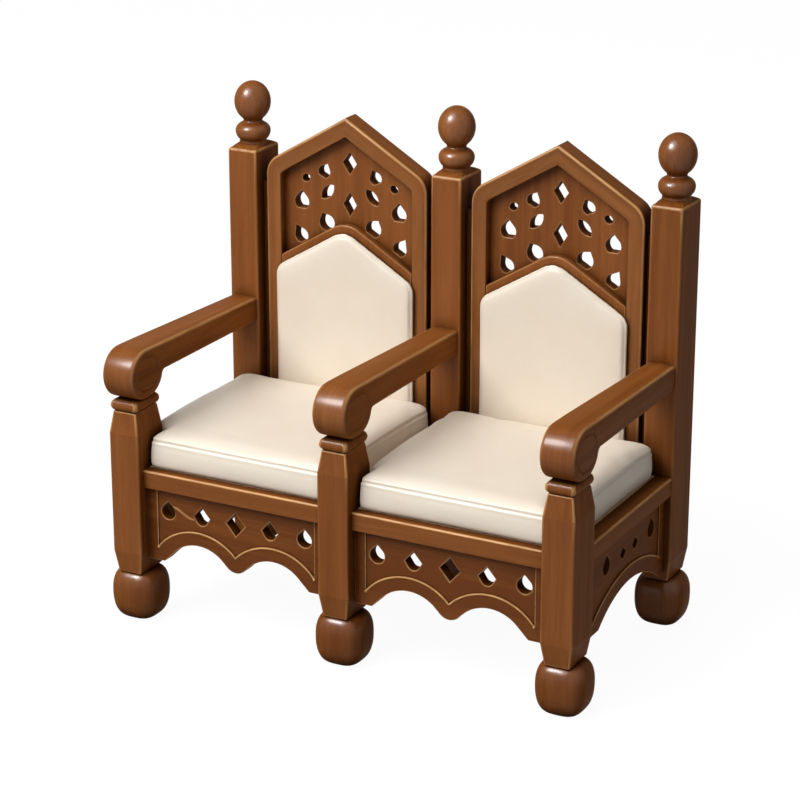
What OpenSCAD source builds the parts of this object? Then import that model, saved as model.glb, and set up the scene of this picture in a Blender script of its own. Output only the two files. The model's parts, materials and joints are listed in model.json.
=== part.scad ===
// Two-seat ceremonial armchair: turned and carved wood with two leather seats and two leather backs.
// The front looks along -Y and up is +Z. The origin is on the floor, under the middle of the whole chair.
// The right-hand seat is drawn and the left-hand one is its mirror image.

/* [Layout] */
// Distance between the centres of the front and the rear posts
depth_pitch = 595; // [540:5:660]
// Height of the top of the seat rails, on which the cushions lie
seat_h = 419; // [400:1:445]
// Height of the top of the front posts, on which the arm scrolls rest
front_post_top = 602; // [580:1:625]
// Height of the top of the rear posts, on which the finials stand
rear_post_top = 1125; // [1080:1:1175]

/* [Posts] */
// Width of every post
post_w = 85; // [76:1:96]
// Depth of a front post
front_post_d = 118; // [108:1:124]
// Depth of a rear post
rear_post_d = 120; // [110:1:124]
// Bevel along the upright edges of a post
post_bevel = 6; // [2:0.5:9]
// How far a post narrows on each side of its width at a tapered end
taper_w = 9; // [5:0.5:12]
// How far a post narrows on each side of its depth at a tapered end
taper_d = 8; // [5:0.5:14]
// Length of a tapered end
taper_h = 58; // [40:1:75]
// Height of the rounded collar at the top of a front post
collar_h = 31; // [20:1:32]
// How far the collar stands out past the tapered top of the shaft
collar_out = 4; // [2:0.5:6]
// Rise of the shallow roof on top of a rear post
cap_rise = 8; // [4:1:14]
// Radius of the eased edge round the top of a rear post
cap_edge_r = 8; // [4:0.5:12]

/* [Feet] */
// Height of the foot with its glide
foot_h = 136; // [116:1:146]
// Width and depth of a foot
foot_w = 128; // [118:1:136]
// Radius of the foot's upper edge
foot_top_r = 20; // [14:1:26]
// Radius of the foot's lower edge and of its upright corners
foot_corner_r = 44; // [34:1:48]
// Radius of a glide
glide_r = 18; // [14:1:22]
// Height of a glide's disc
glide_h = 4; // [3:0.5:6]
// Radius of a glide's nail
nail_r = 1.5; // [1:0.1:2.5]
// Length of a glide's nail
nail_l = 18; // [12:1:25]
// Radius of the stud that joins a foot to its post
stud_r = 5; // [4:0.5:7]
// Length of the stud, half in the foot and half in the post
stud_l = 70; // [50:2:90]

/* [Arms] */
// Radius of the rolled front end of an arm
scroll_r = 65; // [58:1:70]
// Straight run between the two round ends of the roll
scroll_run = 18; // [8:1:26]
// How far the roll's middle lies in front of the post's centre
scroll_forward = 4; // [0:1:10]
// Width of an arm at the roll
arm_front_w = 90; // [80:1:100]
// Width of an arm at the rear post
arm_rear_w = 74; // [64:1:84]
// Height of the top of an arm at the rear post
arm_rear_top = 717; // [697:1:729]
// Thickness of an arm at the rear post
arm_rear_t = 68; // [58:1:76]
// Thickness of an arm behind the roll
arm_front_t = 77; // [66:1:84]
// Radius of the dowel between a front post and its arm
arm_dowel_r = 11; // [8:0.5:14]
// Length of that dowel, half in the post and half in the arm
arm_dowel_l = 70; // [50:2:90]

/* [Seat frame] */
// Height of the front and side rails
rail_h = 47; // [42:1:56]
// Thickness of the front rail
front_rail_t = 30; // [26:1:36]
// How far the front rail's face lies behind the faces of the front posts
front_rail_set = 21.5; // [16:0.5:26]
// Radius of the eased upper edge of the front and outer side rails
rail_edge_r = 6; // [3:0.5:9]
// Thickness of an outer side rail
side_rail_t = 45; // [38:1:48]
// How far an outer side rail lies inside the outer faces of the posts
side_rail_set = 4.5; // [2:0.5:8]
// Thickness of the middle side rail
centre_rail_t = 60; // [52:1:66]
// Height of the rear rail
rear_rail_h = 80; // [60:1:100]
// Thickness of the rear rail
rear_rail_t = 45; // [38:1:50]
// Length of the tenons on rails
tenon_l = 30; // [24:1:32]
// Thickness of the tenons on rails
tenon_t = 16; // [12:1:18]
// Shoulder above and below a tenon
tenon_shoulder = 7; // [5:0.5:10]
// Thickness of the seat board
deck_t = 15; // [12:1:18]
// Length of a corner block along each rail, past the post
block_leg = 80; // [72:1:95]

/* [Aprons] */
// Thickness of an apron
apron_t = 36; // [24:1:40]
// How far the front apron's face lies behind the face of the front rail
front_apron_set = 15.5; // [12:0.5:18]
// How far a side apron's face lies inside the face of its side rail
side_apron_set = 16; // [10:0.5:20]
// Height of the flat ends of the front apron
front_apron_low = 175; // [165:1:185]
// Height of the crown of each arch of the front apron
front_arch_top = 235; // [225:1:243]
// Radius of each arch of the front apron
front_arch_r = 102; // [98:1:106]
// Distance from the apron's middle to the crown of each arch
front_arch_x = 109; // [105:1:113]
// How far the rounded point between the two arches reaches down below their crowns
front_tip_drop = 52; // [46:1:58]
// Height of the flat ends of a side apron
side_apron_low = 159; // [150:1:172]
// Height of the crown of a side apron's arch
side_arch_top = 222; // [210:1:232]
// Radius of a side apron's arch
side_arch_r = 300; // [270:1:330]
// How far that arch and the holes above it lie behind the middle of a side apron
side_arch_shift = 28; // [0:1:32]
// Radius of the field's lower edge in the front apron, against the band below it
front_band_flatness = 1.1; // [1.05:0.01:1.16]
// Radius of the field's lower edge in a side apron, against the band below it
side_band_flatness = 1.12; // [1:0.02:1.3]
// Depth of the sunk field of an apron
field_depth = 3.5; // [2:0.5:6]
// Width of the raised border beside the field of the front apron
front_border = 30; // [20:1:36]
// Width of the raised border beside the field of a side apron
side_border = 32; // [24:1:40]
// Width of the raised band between the front apron's arches and its field, at the crown
front_band = 35; // [30:1:40]
// Width of the raised band between a side apron's arch and its field, at the crown
side_band = 39; // [32:1:46]
// Distance between the pierced holes of the front apron
front_hole_pitch = 99; // [92:1:104]
// Distance between the two small holes in the middle of a side apron
side_hole_pitch = 74; // [66:1:82]
// Distance from a small hole of a side apron to the large hole beside it
side_end_pitch = 99; // [90:1:104]
// Height of the row of pierced holes of the front apron
hole_row_h = 313; // [309:1:319]
// Height of the row of pierced holes of a side apron
side_hole_row_h = 307; // [300:1:314]
// Width of the diamond in the middle of the front apron
diamond_w = 54; // [44:1:58]
// Height of that diamond
diamond_h = 62; // [52:1:66]
// Width of a small hole of a side apron
small_hole_w = 34; // [26:1:38]
// Height of a small hole of a side apron
small_hole_h = 29; // [24:1:34]
// Radius of the round part of a large hole of a side apron
end_hole_r = 21; // [16:0.5:23]
// Distance from the middle of that round part to the hole's point
end_hole_reach = 30; // [28:1:34]
// Radius of the dowels between rail and apron
apron_dowel_r = 4; // [3:0.5:5]
// Length of those dowels
apron_dowel_l = 28; // [20:2:32]

/* [Backs] */
// Half the width of the opening inside a back frame
back_half_w = 194; // [180:1:200]
// Height of the point of that opening
back_apex = 1179; // [1147:1:1197]
// Slope of the two rakes, rise over run
rake_slope = 0.6; // [0.5:0.02:0.7]
// Width of the frame's members
frame_w = 43; // [36:1:48]
// Depth of the frame's members
frame_d = 60; // [54:1:70]
// How far the frame's face lies behind the faces of the rear posts
back_set = 17; // [12:0.5:24]
// Radius of the frame's outer shoulders
shoulder_r = 60; // [40:1:80]
// Radius of the inner corners under the shoulders
inner_corner_r = 18; // [10:1:26]
// Height of the sill between the stiles
sill_h = 40; // [30:1:48]
// How far the pierced panel lies behind the frame's face
panel_set = 25; // [20:1:30]
// Thickness of the pierced panel
panel_t = 32; // [24:1:34]
// Width of the rebate that takes the panel
rebate = 8; // [6:0.5:12]
// How far the fillets beside the frame lie behind its face
fillet_set = 23; // [16:1:30]
// Width of the fillets, which with the frames sets how far apart the posts stand
fillet_w = 20.5; // [8:0.5:40]
// Thickness of the fillets
fillet_t = 25; // [20:1:30]
// Width of the band of the pad board that shows above the pad
board_band = 14; // [8:1:20]

/* [Pads] */
// Half the width of a back pad
pad_half_w = 210; // [200:1:224]
// Height of the unrounded point of a back pad
pad_apex = 941; // [907:1:947]
// How far a back pad reaches down over its sill
pad_lap = 6; // [2:0.5:20]
// Thickness of a back pad at its edge
pad_t = 18; // [12:1:19]
// Rise of a back pad's crown above its edge
pad_crown = 4; // [1:0.5:5]
// Radius of a back pad's shoulders
pad_shoulder_r = 42; // [30:1:55]
// Radius of a back pad's point
pad_point_r = 60; // [40:1:80]
// Thickness of a seat cushion at its edge
cushion_t = 86; // [70:1:95]
// Rise of a seat cushion's crown above its edge
cushion_crown = 10; // [4:1:20]
// How far the upper edge of a back pad is rolled inward
pad_roll = 6; // [4:0.5:9]
// Radius of a back pad's lower corners
pad_corner_r = 20; // [10:1:30]
// How far the upper edge of a seat cushion is rolled inward
cushion_roll = 8; // [5:0.5:12]
// Radius of a seat cushion's corners beside the posts
cushion_corner_r = 13; // [8:0.5:18]
// Radius of a seat cushion's rear corners
cushion_rear_r = 32; // [20:1:45]
// Radius of the inner corners where a seat cushion goes round a post
notch_r = 4; // [2:0.5:8]
// How far a cushion's face lies behind the front rail's face
cushion_front_set = 14.5; // [10:0.5:18]
// How far a cushion lies on its outer side rail
cushion_side_seat = 14; // [10:1:20]
// How far a cushion's other side lies from the middle of the chair
cushion_middle_x = 22; // [18:1:26]

/* [Finials] */
// Height of a finial above its post
finial_h = 164; // [150:1:180]
// Largest radius of the finial's ball
ball_r = 48; // [42:1:52]
// Largest radius of the bead below the ball
bead_r = 45; // [40:1:50]
// Radius of the neck between bead and ball
neck_r = 23; // [18:1:26]
// Radius of the finial's base
finial_base_r = 35; // [32:1:38]
// Height of the finial's base
base_h = 10; // [6:1:16]
// Height of the bead
bead_h = 49; // [40:1:60]
// Radius of the spigot in the post
spigot_r = 11; // [8:0.5:14]
// Length of the spigot
spigot_l = 40; // [30:1:50]

/* [Screws and clearances] */
// Radius of a screw's shank
screw_r = 2.25; // [1.75:0.25:3]
// Radius of a screw's head
screw_head_r = 4.5; // [4:0.25:5.5]
// Height of a screw's head
screw_head_h = 3; // [2:0.25:4]
// Length of a screw below its head
screw_l = 40; // [34:1:42]
// Wood left under a screw's head in a corner block
screw_hold = 25; // [22:1:27]
// Distance from a post to the screws of a corner block
screw_step = 25; // [18:1:30]
// How far a corner block's two rail screws sit above and below its middle
screw_rise = 6; // [5:0.5:8]
// Distance from a post's faces to the screw of the seat board beside it
deck_screw_step = 8; // [6:0.5:10]
// Clearance round tenons, dowels, studs and screws
joint_gap = 0.2; // [0.1:0.05:0.4]
// Clearance round the seat board and the boards of the back
board_gap = 0.5; // [0.3:0.1:1]
// Clearance between a leather pad and the wood beside it
pad_gap = 1.5; // [0.5:0.1:3]

/* [Hidden] */
$fn = 48;
wood = [0.545, 0.33, 0.19];
dark_wood = [0.42, 0.25, 0.14];
board_wood = [0.76, 0.60, 0.42];
leather = [0.93, 0.89, 0.82];
steel = [0.62, 0.62, 0.64];

// Overshoot of a cutting shape past the face that it cuts
cut = 1;
// Steps round a drop-shaped hole, along an eased taper and round a drawn corner
drop_steps = 14;
taper_steps = 6;
corner_steps = 5;
// Steps along the bead and the ball of a finial
turn_steps = 12;

// Places of the posts and of the faces that other pieces meet
post_pitch = 2 * (back_half_w + frame_w + fillet_w) + post_w;
scroll_reach = scroll_forward + scroll_run / 2 + scroll_r;
front_y = (scroll_reach - depth_pitch - foot_w / 2) / 2;
rear_y = front_y + depth_pitch;
front_post_back = front_y + front_post_d / 2;
rear_post_face = rear_y - rear_post_d / 2;
shaft_top = front_post_top - collar_h;
rail_low = seat_h - rail_h;
rail_mid = seat_h - rail_h / 2;
block_top = seat_h - deck_t;
clear_half = (post_pitch - post_w) / 2;
front_rail_face = front_y - front_post_d / 2 + front_rail_set;
front_rail_back = front_rail_face + front_rail_t;
side_rail_face = post_pitch + post_w / 2 - side_rail_set;
side_rail_inner = side_rail_face - side_rail_t;
rear_rail_low = seat_h - rear_rail_h;
back_face = rear_post_face + back_set;
seat_x = post_pitch / 2;
pad_low = seat_h + sill_h - pad_lap;

// Places along the row of columns: the left, the centre and the right one
function column_x(column) = column * post_pitch;
function side_rail_x(column) = column * (side_rail_inner + side_rail_face) / 2;
function side_rail_width(column) = column == 0 ? centre_rail_t : side_rail_t;

// Drawing helpers
function unit(v) = v / norm(v);
function rounded_corner(before, corner, after, r) = r <= 0 ? [corner] :
    let (
        u = unit(before - corner),
        v = unit(after - corner),
        half = acos(u * v) / 2,
        middle = corner + unit(u + v) * r / sin(half),
        start = corner + u * r / tan(half) - middle,
        end = corner + v * r / tan(half) - middle,
        first = atan2(start.y, start.x),
        turn = (atan2(end.y, end.x) - first + 540) % 360 - 180
    )
    [for (i = [0:corner_steps]) let (a = first + turn * i / corner_steps) middle + r * [cos(a), sin(a)]];
function rounded_outline(points, radii) = [
    for (i = [0:len(points) - 1])
        each rounded_corner(
            points[(i + len(points) - 1) % len(points)], points[i], points[(i + 1) % len(points)], radii[i]
        )
];
function ease(t) = t * t * (3 - 2 * t);
function rake_offset(distance) = distance / cos(atan(rake_slope));

// An outline drawn across the chair in X and Z, and extruded along Y
module across(depth) rotate([90, 0, 0]) linear_extrude(height = depth, center = true) children();
// An outline drawn from front to back in Y and Z, and extruded along X
module along(width) rotate([90, 0, 90]) linear_extrude(height = width, center = true) children();
// A plate drawn across the chair with its front face at y
module plate(y, thickness) translate([0, y + thickness / 2, 0]) across(thickness) children();
module flip_if(condition) mirror([condition ? 1 : 0, 0, 0]) children();
module flip_y_if(condition) mirror([0, condition ? 1 : 0, 0]) children();
// A box with square corners and rounded upright edges, drawn exactly
module rounded_square(w, d, r) {
    square([w - 2 * r, d], center = true);
    square([w, d - 2 * r], center = true);
    for (x = [-1, 1], y = [-1, 1])
        translate([x * (w / 2 - r), y * (d / 2 - r)]) circle(r = r);
}

// Posts: the two side views and the plan are extruded and intersected, so that all four sides taper
function taper_points(half, low, high, at_top, narrowing) = [
    for (i = [0:taper_steps])
        let (t = i / taper_steps)
        at_top
            ? [half - narrowing * ease(t), high - taper_h * (1 - t)]
            : [half - narrowing * (1 - ease(t)), low + taper_h * t]
];
function mirrored(points) = concat(points, [for (i = [len(points) - 1:-1:0]) [-points[i].x, points[i].y]]);
function shaft_outline(half, narrowing) = mirrored(concat(
    taper_points(half, foot_h, shaft_top, false, narrowing),
    taper_points(half, foot_h, shaft_top, true, narrowing)
));
function cap_outline(half, narrowing) = mirrored(concat(
    taper_points(half, foot_h, 0, false, narrowing),
    [for (a = [0:15:60])
        [half - cap_edge_r * (1 - cos(a)), rear_post_top - cap_rise - cap_edge_r * (1 - sin(a))]],
    [[finial_base_r, rear_post_top]]
));
module bevelled_plan(w, d) {
    linear_extrude(height = rear_post_top + cut)
        polygon([
            for (q = [[1, 1], [-1, 1], [-1, -1], [1, -1]])
                for (k = q.x * q.y > 0 ? [0, 1] : [1, 0])
                    [q.x * (w / 2 - k * post_bevel), q.y * (d / 2 - (1 - k) * post_bevel)]
        ]);
}
module front_rail_tenon(column, side, gap) {
    translate([column_x(column), (front_rail_face + front_rail_back) / 2, rail_mid])
        flip_if(side < 0)
            translate([post_w / 2 - tenon_l - gap, -tenon_t / 2 - gap, tenon_shoulder - rail_h / 2 - gap])
                cube([tenon_l + gap + cut, tenon_t + 2 * gap, rail_h - 2 * tenon_shoulder + 2 * gap]);
}
module rear_rail_tenon(column, side, gap) {
    translate([column_x(column), back_face + rear_rail_t / 2, rear_rail_low])
        flip_if(side < 0)
            translate([post_w / 2 - tenon_l - gap, -tenon_t / 2 - gap, tenon_shoulder - gap])
                cube([tenon_l + gap + cut, tenon_t + 2 * gap, rear_rail_h - 2 * tenon_shoulder + 2 * gap]);
}
module side_rail_tenons(column, gap) {
    for (end = [[front_post_back, -1], [rear_post_face, 1]])
        translate([side_rail_x(column), end[0], rail_mid])
            flip_y_if(end[1] > 0)
                translate([-tenon_t / 2 - gap, -tenon_l - gap, tenon_shoulder - rail_h / 2 - gap])
                    cube([tenon_t + 2 * gap, tenon_l + gap + cut, rail_h - 2 * tenon_shoulder + 2 * gap]);
}
module arm_tenon(column, gap) {
    tenon_high = arm_rear_t - 4 * tenon_shoulder;
    tenon_low = arm_rear_top - (arm_rear_t + tenon_high) / 2;
    translate([column_x(column) - tenon_t / 2 - gap, rear_post_face - cut, tenon_low - gap])
        cube([tenon_t + 2 * gap, tenon_l + gap + cut, tenon_high + 2 * gap]);
}
module arm_dowel(column, gap) {
    translate([column_x(column), front_y, front_post_top - arm_dowel_l / 2 - gap])
        cylinder(r = arm_dowel_r + gap, h = arm_dowel_l + 2 * gap);
}
module foot_stud(column, y, gap) {
    translate([column_x(column), y, foot_h - stud_l / 2 - gap])
        cylinder(r = stud_r + gap, h = stud_l + 2 * gap);
}
// The seats beside a column, and the direction from the column to each
function seats_at(column) = column == 0 ? [-1, 1] : [column];
function toward(column, seat) = column == 0 ? seat : -seat;

module front_post(column) {
    color(wood) difference() {
        translate([column_x(column), front_y, 0]) {
            intersection() {
                across(front_post_d) polygon(shaft_outline(post_w / 2, taper_w));
                along(post_w) polygon(shaft_outline(front_post_d / 2, taper_d));
                bevelled_plan(post_w, front_post_d);
            }
            translate([0, 0, shaft_top + collar_h / 2]) collar();
        }
        arm_dowel(column, joint_gap);
        foot_stud(column, front_y, joint_gap);
        side_rail_tenons(column, joint_gap);
        for (seat = seats_at(column)) front_rail_tenon(column, toward(column, seat), joint_gap);
    }
}
module collar() {
    collar_w = post_w - 2 * taper_w + 2 * collar_out;
    collar_d = front_post_d - 2 * taper_d + 2 * collar_out;
    intersection() {
        across(front_post_d) rounded_square(collar_w, collar_h, collar_h / 2 - joint_gap);
        along(post_w) rounded_square(collar_d, collar_h, collar_h / 2 - joint_gap);
    }
}
module rear_post(column) {
    color(wood) difference() {
        translate([column_x(column), rear_y, 0]) {
            intersection() {
                across(rear_post_d) polygon(cap_outline(post_w / 2, taper_w));
                along(post_w) polygon(cap_outline(rear_post_d / 2, taper_d));
                bevelled_plan(post_w, rear_post_d);
            }
        }
        finial_spigot(column, joint_gap);
        foot_stud(column, rear_y, joint_gap);
        side_rail_tenons(column, joint_gap);
        arm_tenon(column, joint_gap);
        for (seat = seats_at(column)) rear_rail_tenon(column, toward(column, seat), joint_gap);
    }
}

// Feet with their studs and glides: a quarter turned at each corner, joined by two straight runs
foot_reach = foot_w / 2 - foot_corner_r;
module foot_corner_view() {
    intersection() {
        union() {
            polygon([
                [0, glide_h], [foot_corner_r, glide_h + foot_corner_r], [foot_corner_r, foot_h - foot_top_r],
                [foot_corner_r - foot_top_r, foot_h], [0, foot_h]
            ]);
            translate([0, glide_h + foot_corner_r]) circle(r = foot_corner_r);
            translate([foot_corner_r - foot_top_r, foot_h - foot_top_r]) circle(r = foot_top_r);
        }
        square([foot_w, foot_h + cut]);
    }
}
module foot_view() {
    translate([-foot_reach, glide_h]) square([2 * foot_reach, foot_h - glide_h]);
    for (side = [0, 1]) mirror([side, 0]) translate([foot_reach, 0]) foot_corner_view();
}
module foot(column, y) {
    color(wood) difference() {
        translate([column_x(column), y, 0]) {
            for (turn = [0:90:270])
                rotate([0, 0, turn]) translate([foot_reach, foot_reach, 0])
                    rotate_extrude(angle = 90) foot_corner_view();
            across(2 * foot_reach) foot_view();
            along(2 * foot_reach) foot_view();
        }
        foot_stud(column, y, joint_gap);
        glide_nail(column, y, joint_gap);
    }
}
module glide_nail(column, y, gap) {
    translate([column_x(column), y, glide_h - cut]) cylinder(r = nail_r + gap, h = nail_l + cut + gap);
}
module foot_glides() {
    color(steel)
        for (column = [-1:1], y = [front_y, rear_y]) {
            translate([column_x(column), y, 0]) cylinder(r = glide_r, h = glide_h);
            glide_nail(column, y, 0);
        }
}
module foot_studs() {
    color(steel)
        for (column = [-1:1], y = [front_y, rear_y]) foot_stud(column, y, 0);
}

// Finials: a ball on a bead on a flared base, turned in one piece with its spigot
module finial_spigot(column, gap) {
    translate([column_x(column), rear_y, rear_post_top - spigot_l - gap])
        cylinder(r = spigot_r + gap, h = spigot_l + gap + cut);
}
module finial(column) {
    bead_low = base_h;
    bead_high = base_h + bead_h;
    bead_mid = (bead_low + bead_high) / 2;
    ball_mid = (bead_high + finial_h) / 2;
    bead_half = (bead_high - bead_low) / 2;
    ball_half = (finial_h - bead_high) / 2;
    ball_start = -acos(neck_r / ball_r);
    bead_start = -acos((finial_base_r - base_h / 2) / bead_r);
    bead_end = acos(neck_r / bead_r);
    profile = concat(
        [[0, 0], [finial_base_r, 0], [finial_base_r, base_h / 2]],
        [for (i = [0:turn_steps]) let (a = bead_start + (bead_end - bead_start) * i / turn_steps)
            [bead_r * cos(a), bead_mid + bead_half * sin(a)]],
        [for (i = [0:turn_steps]) let (a = ball_start + (90 - ball_start) * i / turn_steps)
            [ball_r * cos(a), ball_mid + ball_half * sin(a)]]
    );
    color(wood) {
        translate([column_x(column), rear_y, rear_post_top]) rotate_extrude() polygon(profile);
        finial_spigot(column, 0);
    }
}

// Arms: the side view with its roll, cut to the plan that narrows towards the back
module arm_side_view() {
    roll_z = front_post_top + scroll_r;
    roll_front = front_y - scroll_forward - scroll_run / 2;
    roll_back = roll_front + scroll_run;
    translate([roll_front, roll_z]) circle(r = scroll_r);
    translate([roll_back, roll_z]) circle(r = scroll_r);
    translate([roll_front, front_post_top]) square([scroll_run, 2 * scroll_r]);
    polygon([
        [roll_back, roll_z + scroll_r], [roll_back, roll_z + scroll_r - arm_front_t],
        [rear_post_face, arm_rear_top - arm_rear_t], [rear_post_face, arm_rear_top]
    ]);
}
module armrest(column) {
    high = front_post_top + 3 * scroll_r;
    roll_low = front_y - scroll_reach;
    color(wood) difference() {
        union() {
            intersection() {
                translate([column_x(column), 0, 0]) along(2 * arm_front_w) arm_side_view();
                translate([column_x(column), 0, 0]) linear_extrude(height = high) polygon([
                    [-arm_front_w / 2, roll_low - cut], [arm_front_w / 2, roll_low - cut],
                    [arm_front_w / 2, front_post_back], [arm_rear_w / 2, rear_post_face],
                    [-arm_rear_w / 2, rear_post_face], [-arm_front_w / 2, front_post_back]
                ]);
            }
            arm_tenon(column, 0);
        }
        arm_dowel(column, joint_gap);
    }
}
module arm_dowels() {
    color(board_wood) for (column = [-1:1]) arm_dowel(column, 0);
}

// Seat frame
module rail_section(thickness) {
    difference() {
        square([thickness, rail_h]);
        translate([0, rail_h - rail_edge_r]) square(rail_edge_r);
    }
    translate([rail_edge_r, rail_h - rail_edge_r]) circle(r = rail_edge_r);
}
module front_rail(seat) {
    color(wood) flip_if(seat < 0) difference() {
        union() {
            translate([seat_x, front_rail_face, rail_low]) along(2 * clear_half) rail_section(front_rail_t);
            front_rail_tenon(0, 1, 0);
            front_rail_tenon(1, -1, 0);
        }
        seat_screws(joint_gap);
        seat_apron_dowels(joint_gap);
    }
}
module rear_rail(seat) {
    color(wood) flip_if(seat < 0) difference() {
        union() {
            translate([seat_x - clear_half, back_face, rear_rail_low])
                cube([2 * clear_half, rear_rail_t, rear_rail_h]);
            rear_rail_tenon(0, 1, 0);
            rear_rail_tenon(1, -1, 0);
        }
        seat_screws(joint_gap);
    }
}
module side_rail(column) {
    run = rear_post_face - front_post_back;
    color(wood) difference() {
        union() {
            if (column == 0)
                translate([-centre_rail_t / 2, front_post_back, rail_low]) cube([centre_rail_t, run, rail_h]);
            else
                flip_if(column < 0)
                    translate([side_rail_face, front_post_back + run / 2, rail_low])
                        mirror([1, 0, 0]) across(run) rail_section(side_rail_t);
            side_rail_tenons(column, 0);
        }
        for (seat = seats_at(column)) flip_if(seat < 0) {
            seat_screws(joint_gap);
            seat_apron_dowels(joint_gap);
        }
    }
}

// Corner blocks. A corner is drawn in the plan, from the post's axis towards the seat and from the rail's
// inner face into the seat. Each corner holds its column, its direction towards the seat, the rail's inner
// face, its direction into the seat, how far the post reaches into the seat, and the side rail's inner face.
seat_corners = [
    for (column = [0, 1], rear = [false, true]) [
        column,
        column == 0 ? 1 : -1,
        rear ? back_face : front_rail_back,
        rear ? -1 : 1,
        rear ? back_face - rear_post_face : front_post_back - front_rail_back,
        column == 0 ? centre_rail_t / 2 : post_pitch - side_rail_inner
    ]
];
module at_corner(corner) {
    translate([column_x(corner[0]), corner[2], 0])
        flip_if(corner[1] < 0) flip_y_if(corner[3] < 0) children();
}
module seat_blocks() {
    for (corner = seat_corners) at_corner(corner)
        translate([0, 0, rail_low]) linear_extrude(height = block_top - rail_low) polygon([
            [post_w / 2 + block_leg, 0], [post_w / 2, 0], [post_w / 2, corner[4]],
            [corner[5], corner[4]], [corner[5], corner[4] + block_leg]
        ]);
}
module corner_blocks() {
    color(board_wood) for (seat = [-1, 1]) flip_if(seat < 0) difference() {
        seat_blocks();
        seat_screws(joint_gap, block_leg);
    }
}
// A screw pointing down, the underside of its head at the origin; room is the depth cleared above the head
module screw(gap, room) {
    translate([0, 0, -screw_l - gap]) cylinder(r = screw_r + gap, h = screw_l + gap + cut);
    cylinder(r = screw_head_r + gap, h = screw_head_h + room);
}
// The screws of one seat: two through each corner block into the rails and one through the seat board
module seat_screws(gap, room = 0) {
    block_mid = (block_top + rail_low) / 2;
    deck_screw_h = seat_h - screw_head_h - board_gap;
    for (corner = seat_corners) at_corner(corner) {
        translate([post_w / 2 + screw_step, screw_hold, block_mid + screw_rise])
            rotate([-90, 0, 0]) screw(gap, room);
        translate([corner[5] + screw_hold, corner[4] + screw_step, block_mid - screw_rise])
            rotate([0, 90, 0]) screw(gap, room);
        translate([post_w / 2 + deck_screw_step, corner[4] + deck_screw_step, deck_screw_h])
            screw(gap, room);
    }
}
module frame_screws() {
    color(steel) for (seat = [-1, 1]) flip_if(seat < 0) seat_screws(0);
}
module seat_deck(seat) {
    left = centre_rail_t / 2 + board_gap;
    right = side_rail_inner - board_gap;
    left_post = post_w / 2 + board_gap;
    right_post = post_pitch - left_post;
    front = front_rail_back + board_gap;
    front_step = front_post_back + board_gap;
    rear_step = rear_post_face - board_gap;
    rear = back_face - board_gap;
    color(board_wood) flip_if(seat < 0) difference() {
        translate([0, 0, seat_h - deck_t]) linear_extrude(height = deck_t) polygon([
            [left_post, front], [right_post, front], [right_post, front_step], [right, front_step],
            [right, rear_step], [right_post, rear_step], [right_post, rear], [left_post, rear],
            [left_post, rear_step], [left, rear_step], [left, front_step], [left_post, front_step]
        ]);
        seat_screws(joint_gap, deck_t);
    }
}

// Aprons: arches along the lower edge, a sunk field above a raised band, and a row of pierced holes
module drop(r, reach) {
    lean = asin(r / reach);
    polygon(concat(
        [[0, reach]],
        [for (i = [0:drop_steps]) let (a = 180 - lean + (180 + 2 * lean) * i / drop_steps) r * [cos(a), sin(a)]]
    ));
}
module diamond(w, h) polygon([[0, h / 2], [-w / 2, 0], [0, -h / 2], [w / 2, 0]]);
module spade(w, h) {
    diamond(w, h);
    translate([0, -h * 0.1]) circle(r = w * 0.36);
}
module hole_row(pitch) {
    diamond(diamond_w, diamond_h);
    for (side = [-1, 1]) {
        translate([side * pitch, 0]) spade(diamond_w * 0.85, diamond_h * 0.85);
        translate([2 * side * pitch, -diamond_h * 0.04]) drop(diamond_w * 0.37, diamond_h * 0.46);
    }
}
// The holes of a side apron: two small ones in the middle and a large one beside each
module side_hole_row() {
    for (side = [-1, 1]) {
        translate([side * side_hole_pitch / 2, 0]) spade(small_hole_w, small_hole_h);
        translate([side * (side_hole_pitch / 2 + side_end_pitch), 0]) drop(end_hole_r, end_hole_reach);
    }
}
// The front apron's lower edge: arches that run out at 45 degrees, and a rounded point that touches them
arch_step = front_arch_r * sin(45);
front_arch_z = front_arch_top - front_arch_r;
tip_corner = front_arch_z + 2 * arch_step - front_arch_x;
tip_r = (front_arch_top - front_tip_drop - tip_corner) / (sqrt(2) - 1);
tip_step = tip_r * sin(45);
module front_apron_outline() {
    chord = front_arch_z + arch_step;
    end_x = front_arch_x + arch_step + chord - front_apron_low;
    difference() {
        translate([-clear_half, front_apron_low]) square([2 * clear_half, rail_low - front_apron_low]);
        polygon([
            [-end_x - cut, front_apron_low - cut], [-front_arch_x - arch_step, chord],
            [arch_step - front_arch_x, chord], [-tip_step, tip_corner + tip_step],
            [tip_step, tip_corner + tip_step], [front_arch_x - arch_step, chord],
            [front_arch_x + arch_step, chord], [end_x + cut, front_apron_low - cut]
        ]);
        for (side = [-1, 1])
            intersection() {
                translate([side * front_arch_x, front_arch_z]) circle(r = front_arch_r);
                translate([side * front_arch_x - arch_step, chord]) square([2 * arch_step, front_arch_r]);
            }
    }
    intersection() {
        translate([0, front_arch_top - front_tip_drop + tip_r]) circle(r = tip_r);
        translate([-tip_step, 0]) square([2 * tip_step, tip_corner + tip_step]);
    }
}
module front_field() {
    band_r = (front_arch_r + front_band) * front_band_flatness;
    half = clear_half - front_border;
    difference() {
        translate([-half, front_arch_z]) square([2 * half, rail_low - front_arch_z + cut]);
        for (side = [-1, 1])
            translate([side * front_arch_x, front_arch_top + front_band - band_r]) circle(r = band_r);
    }
}
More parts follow.
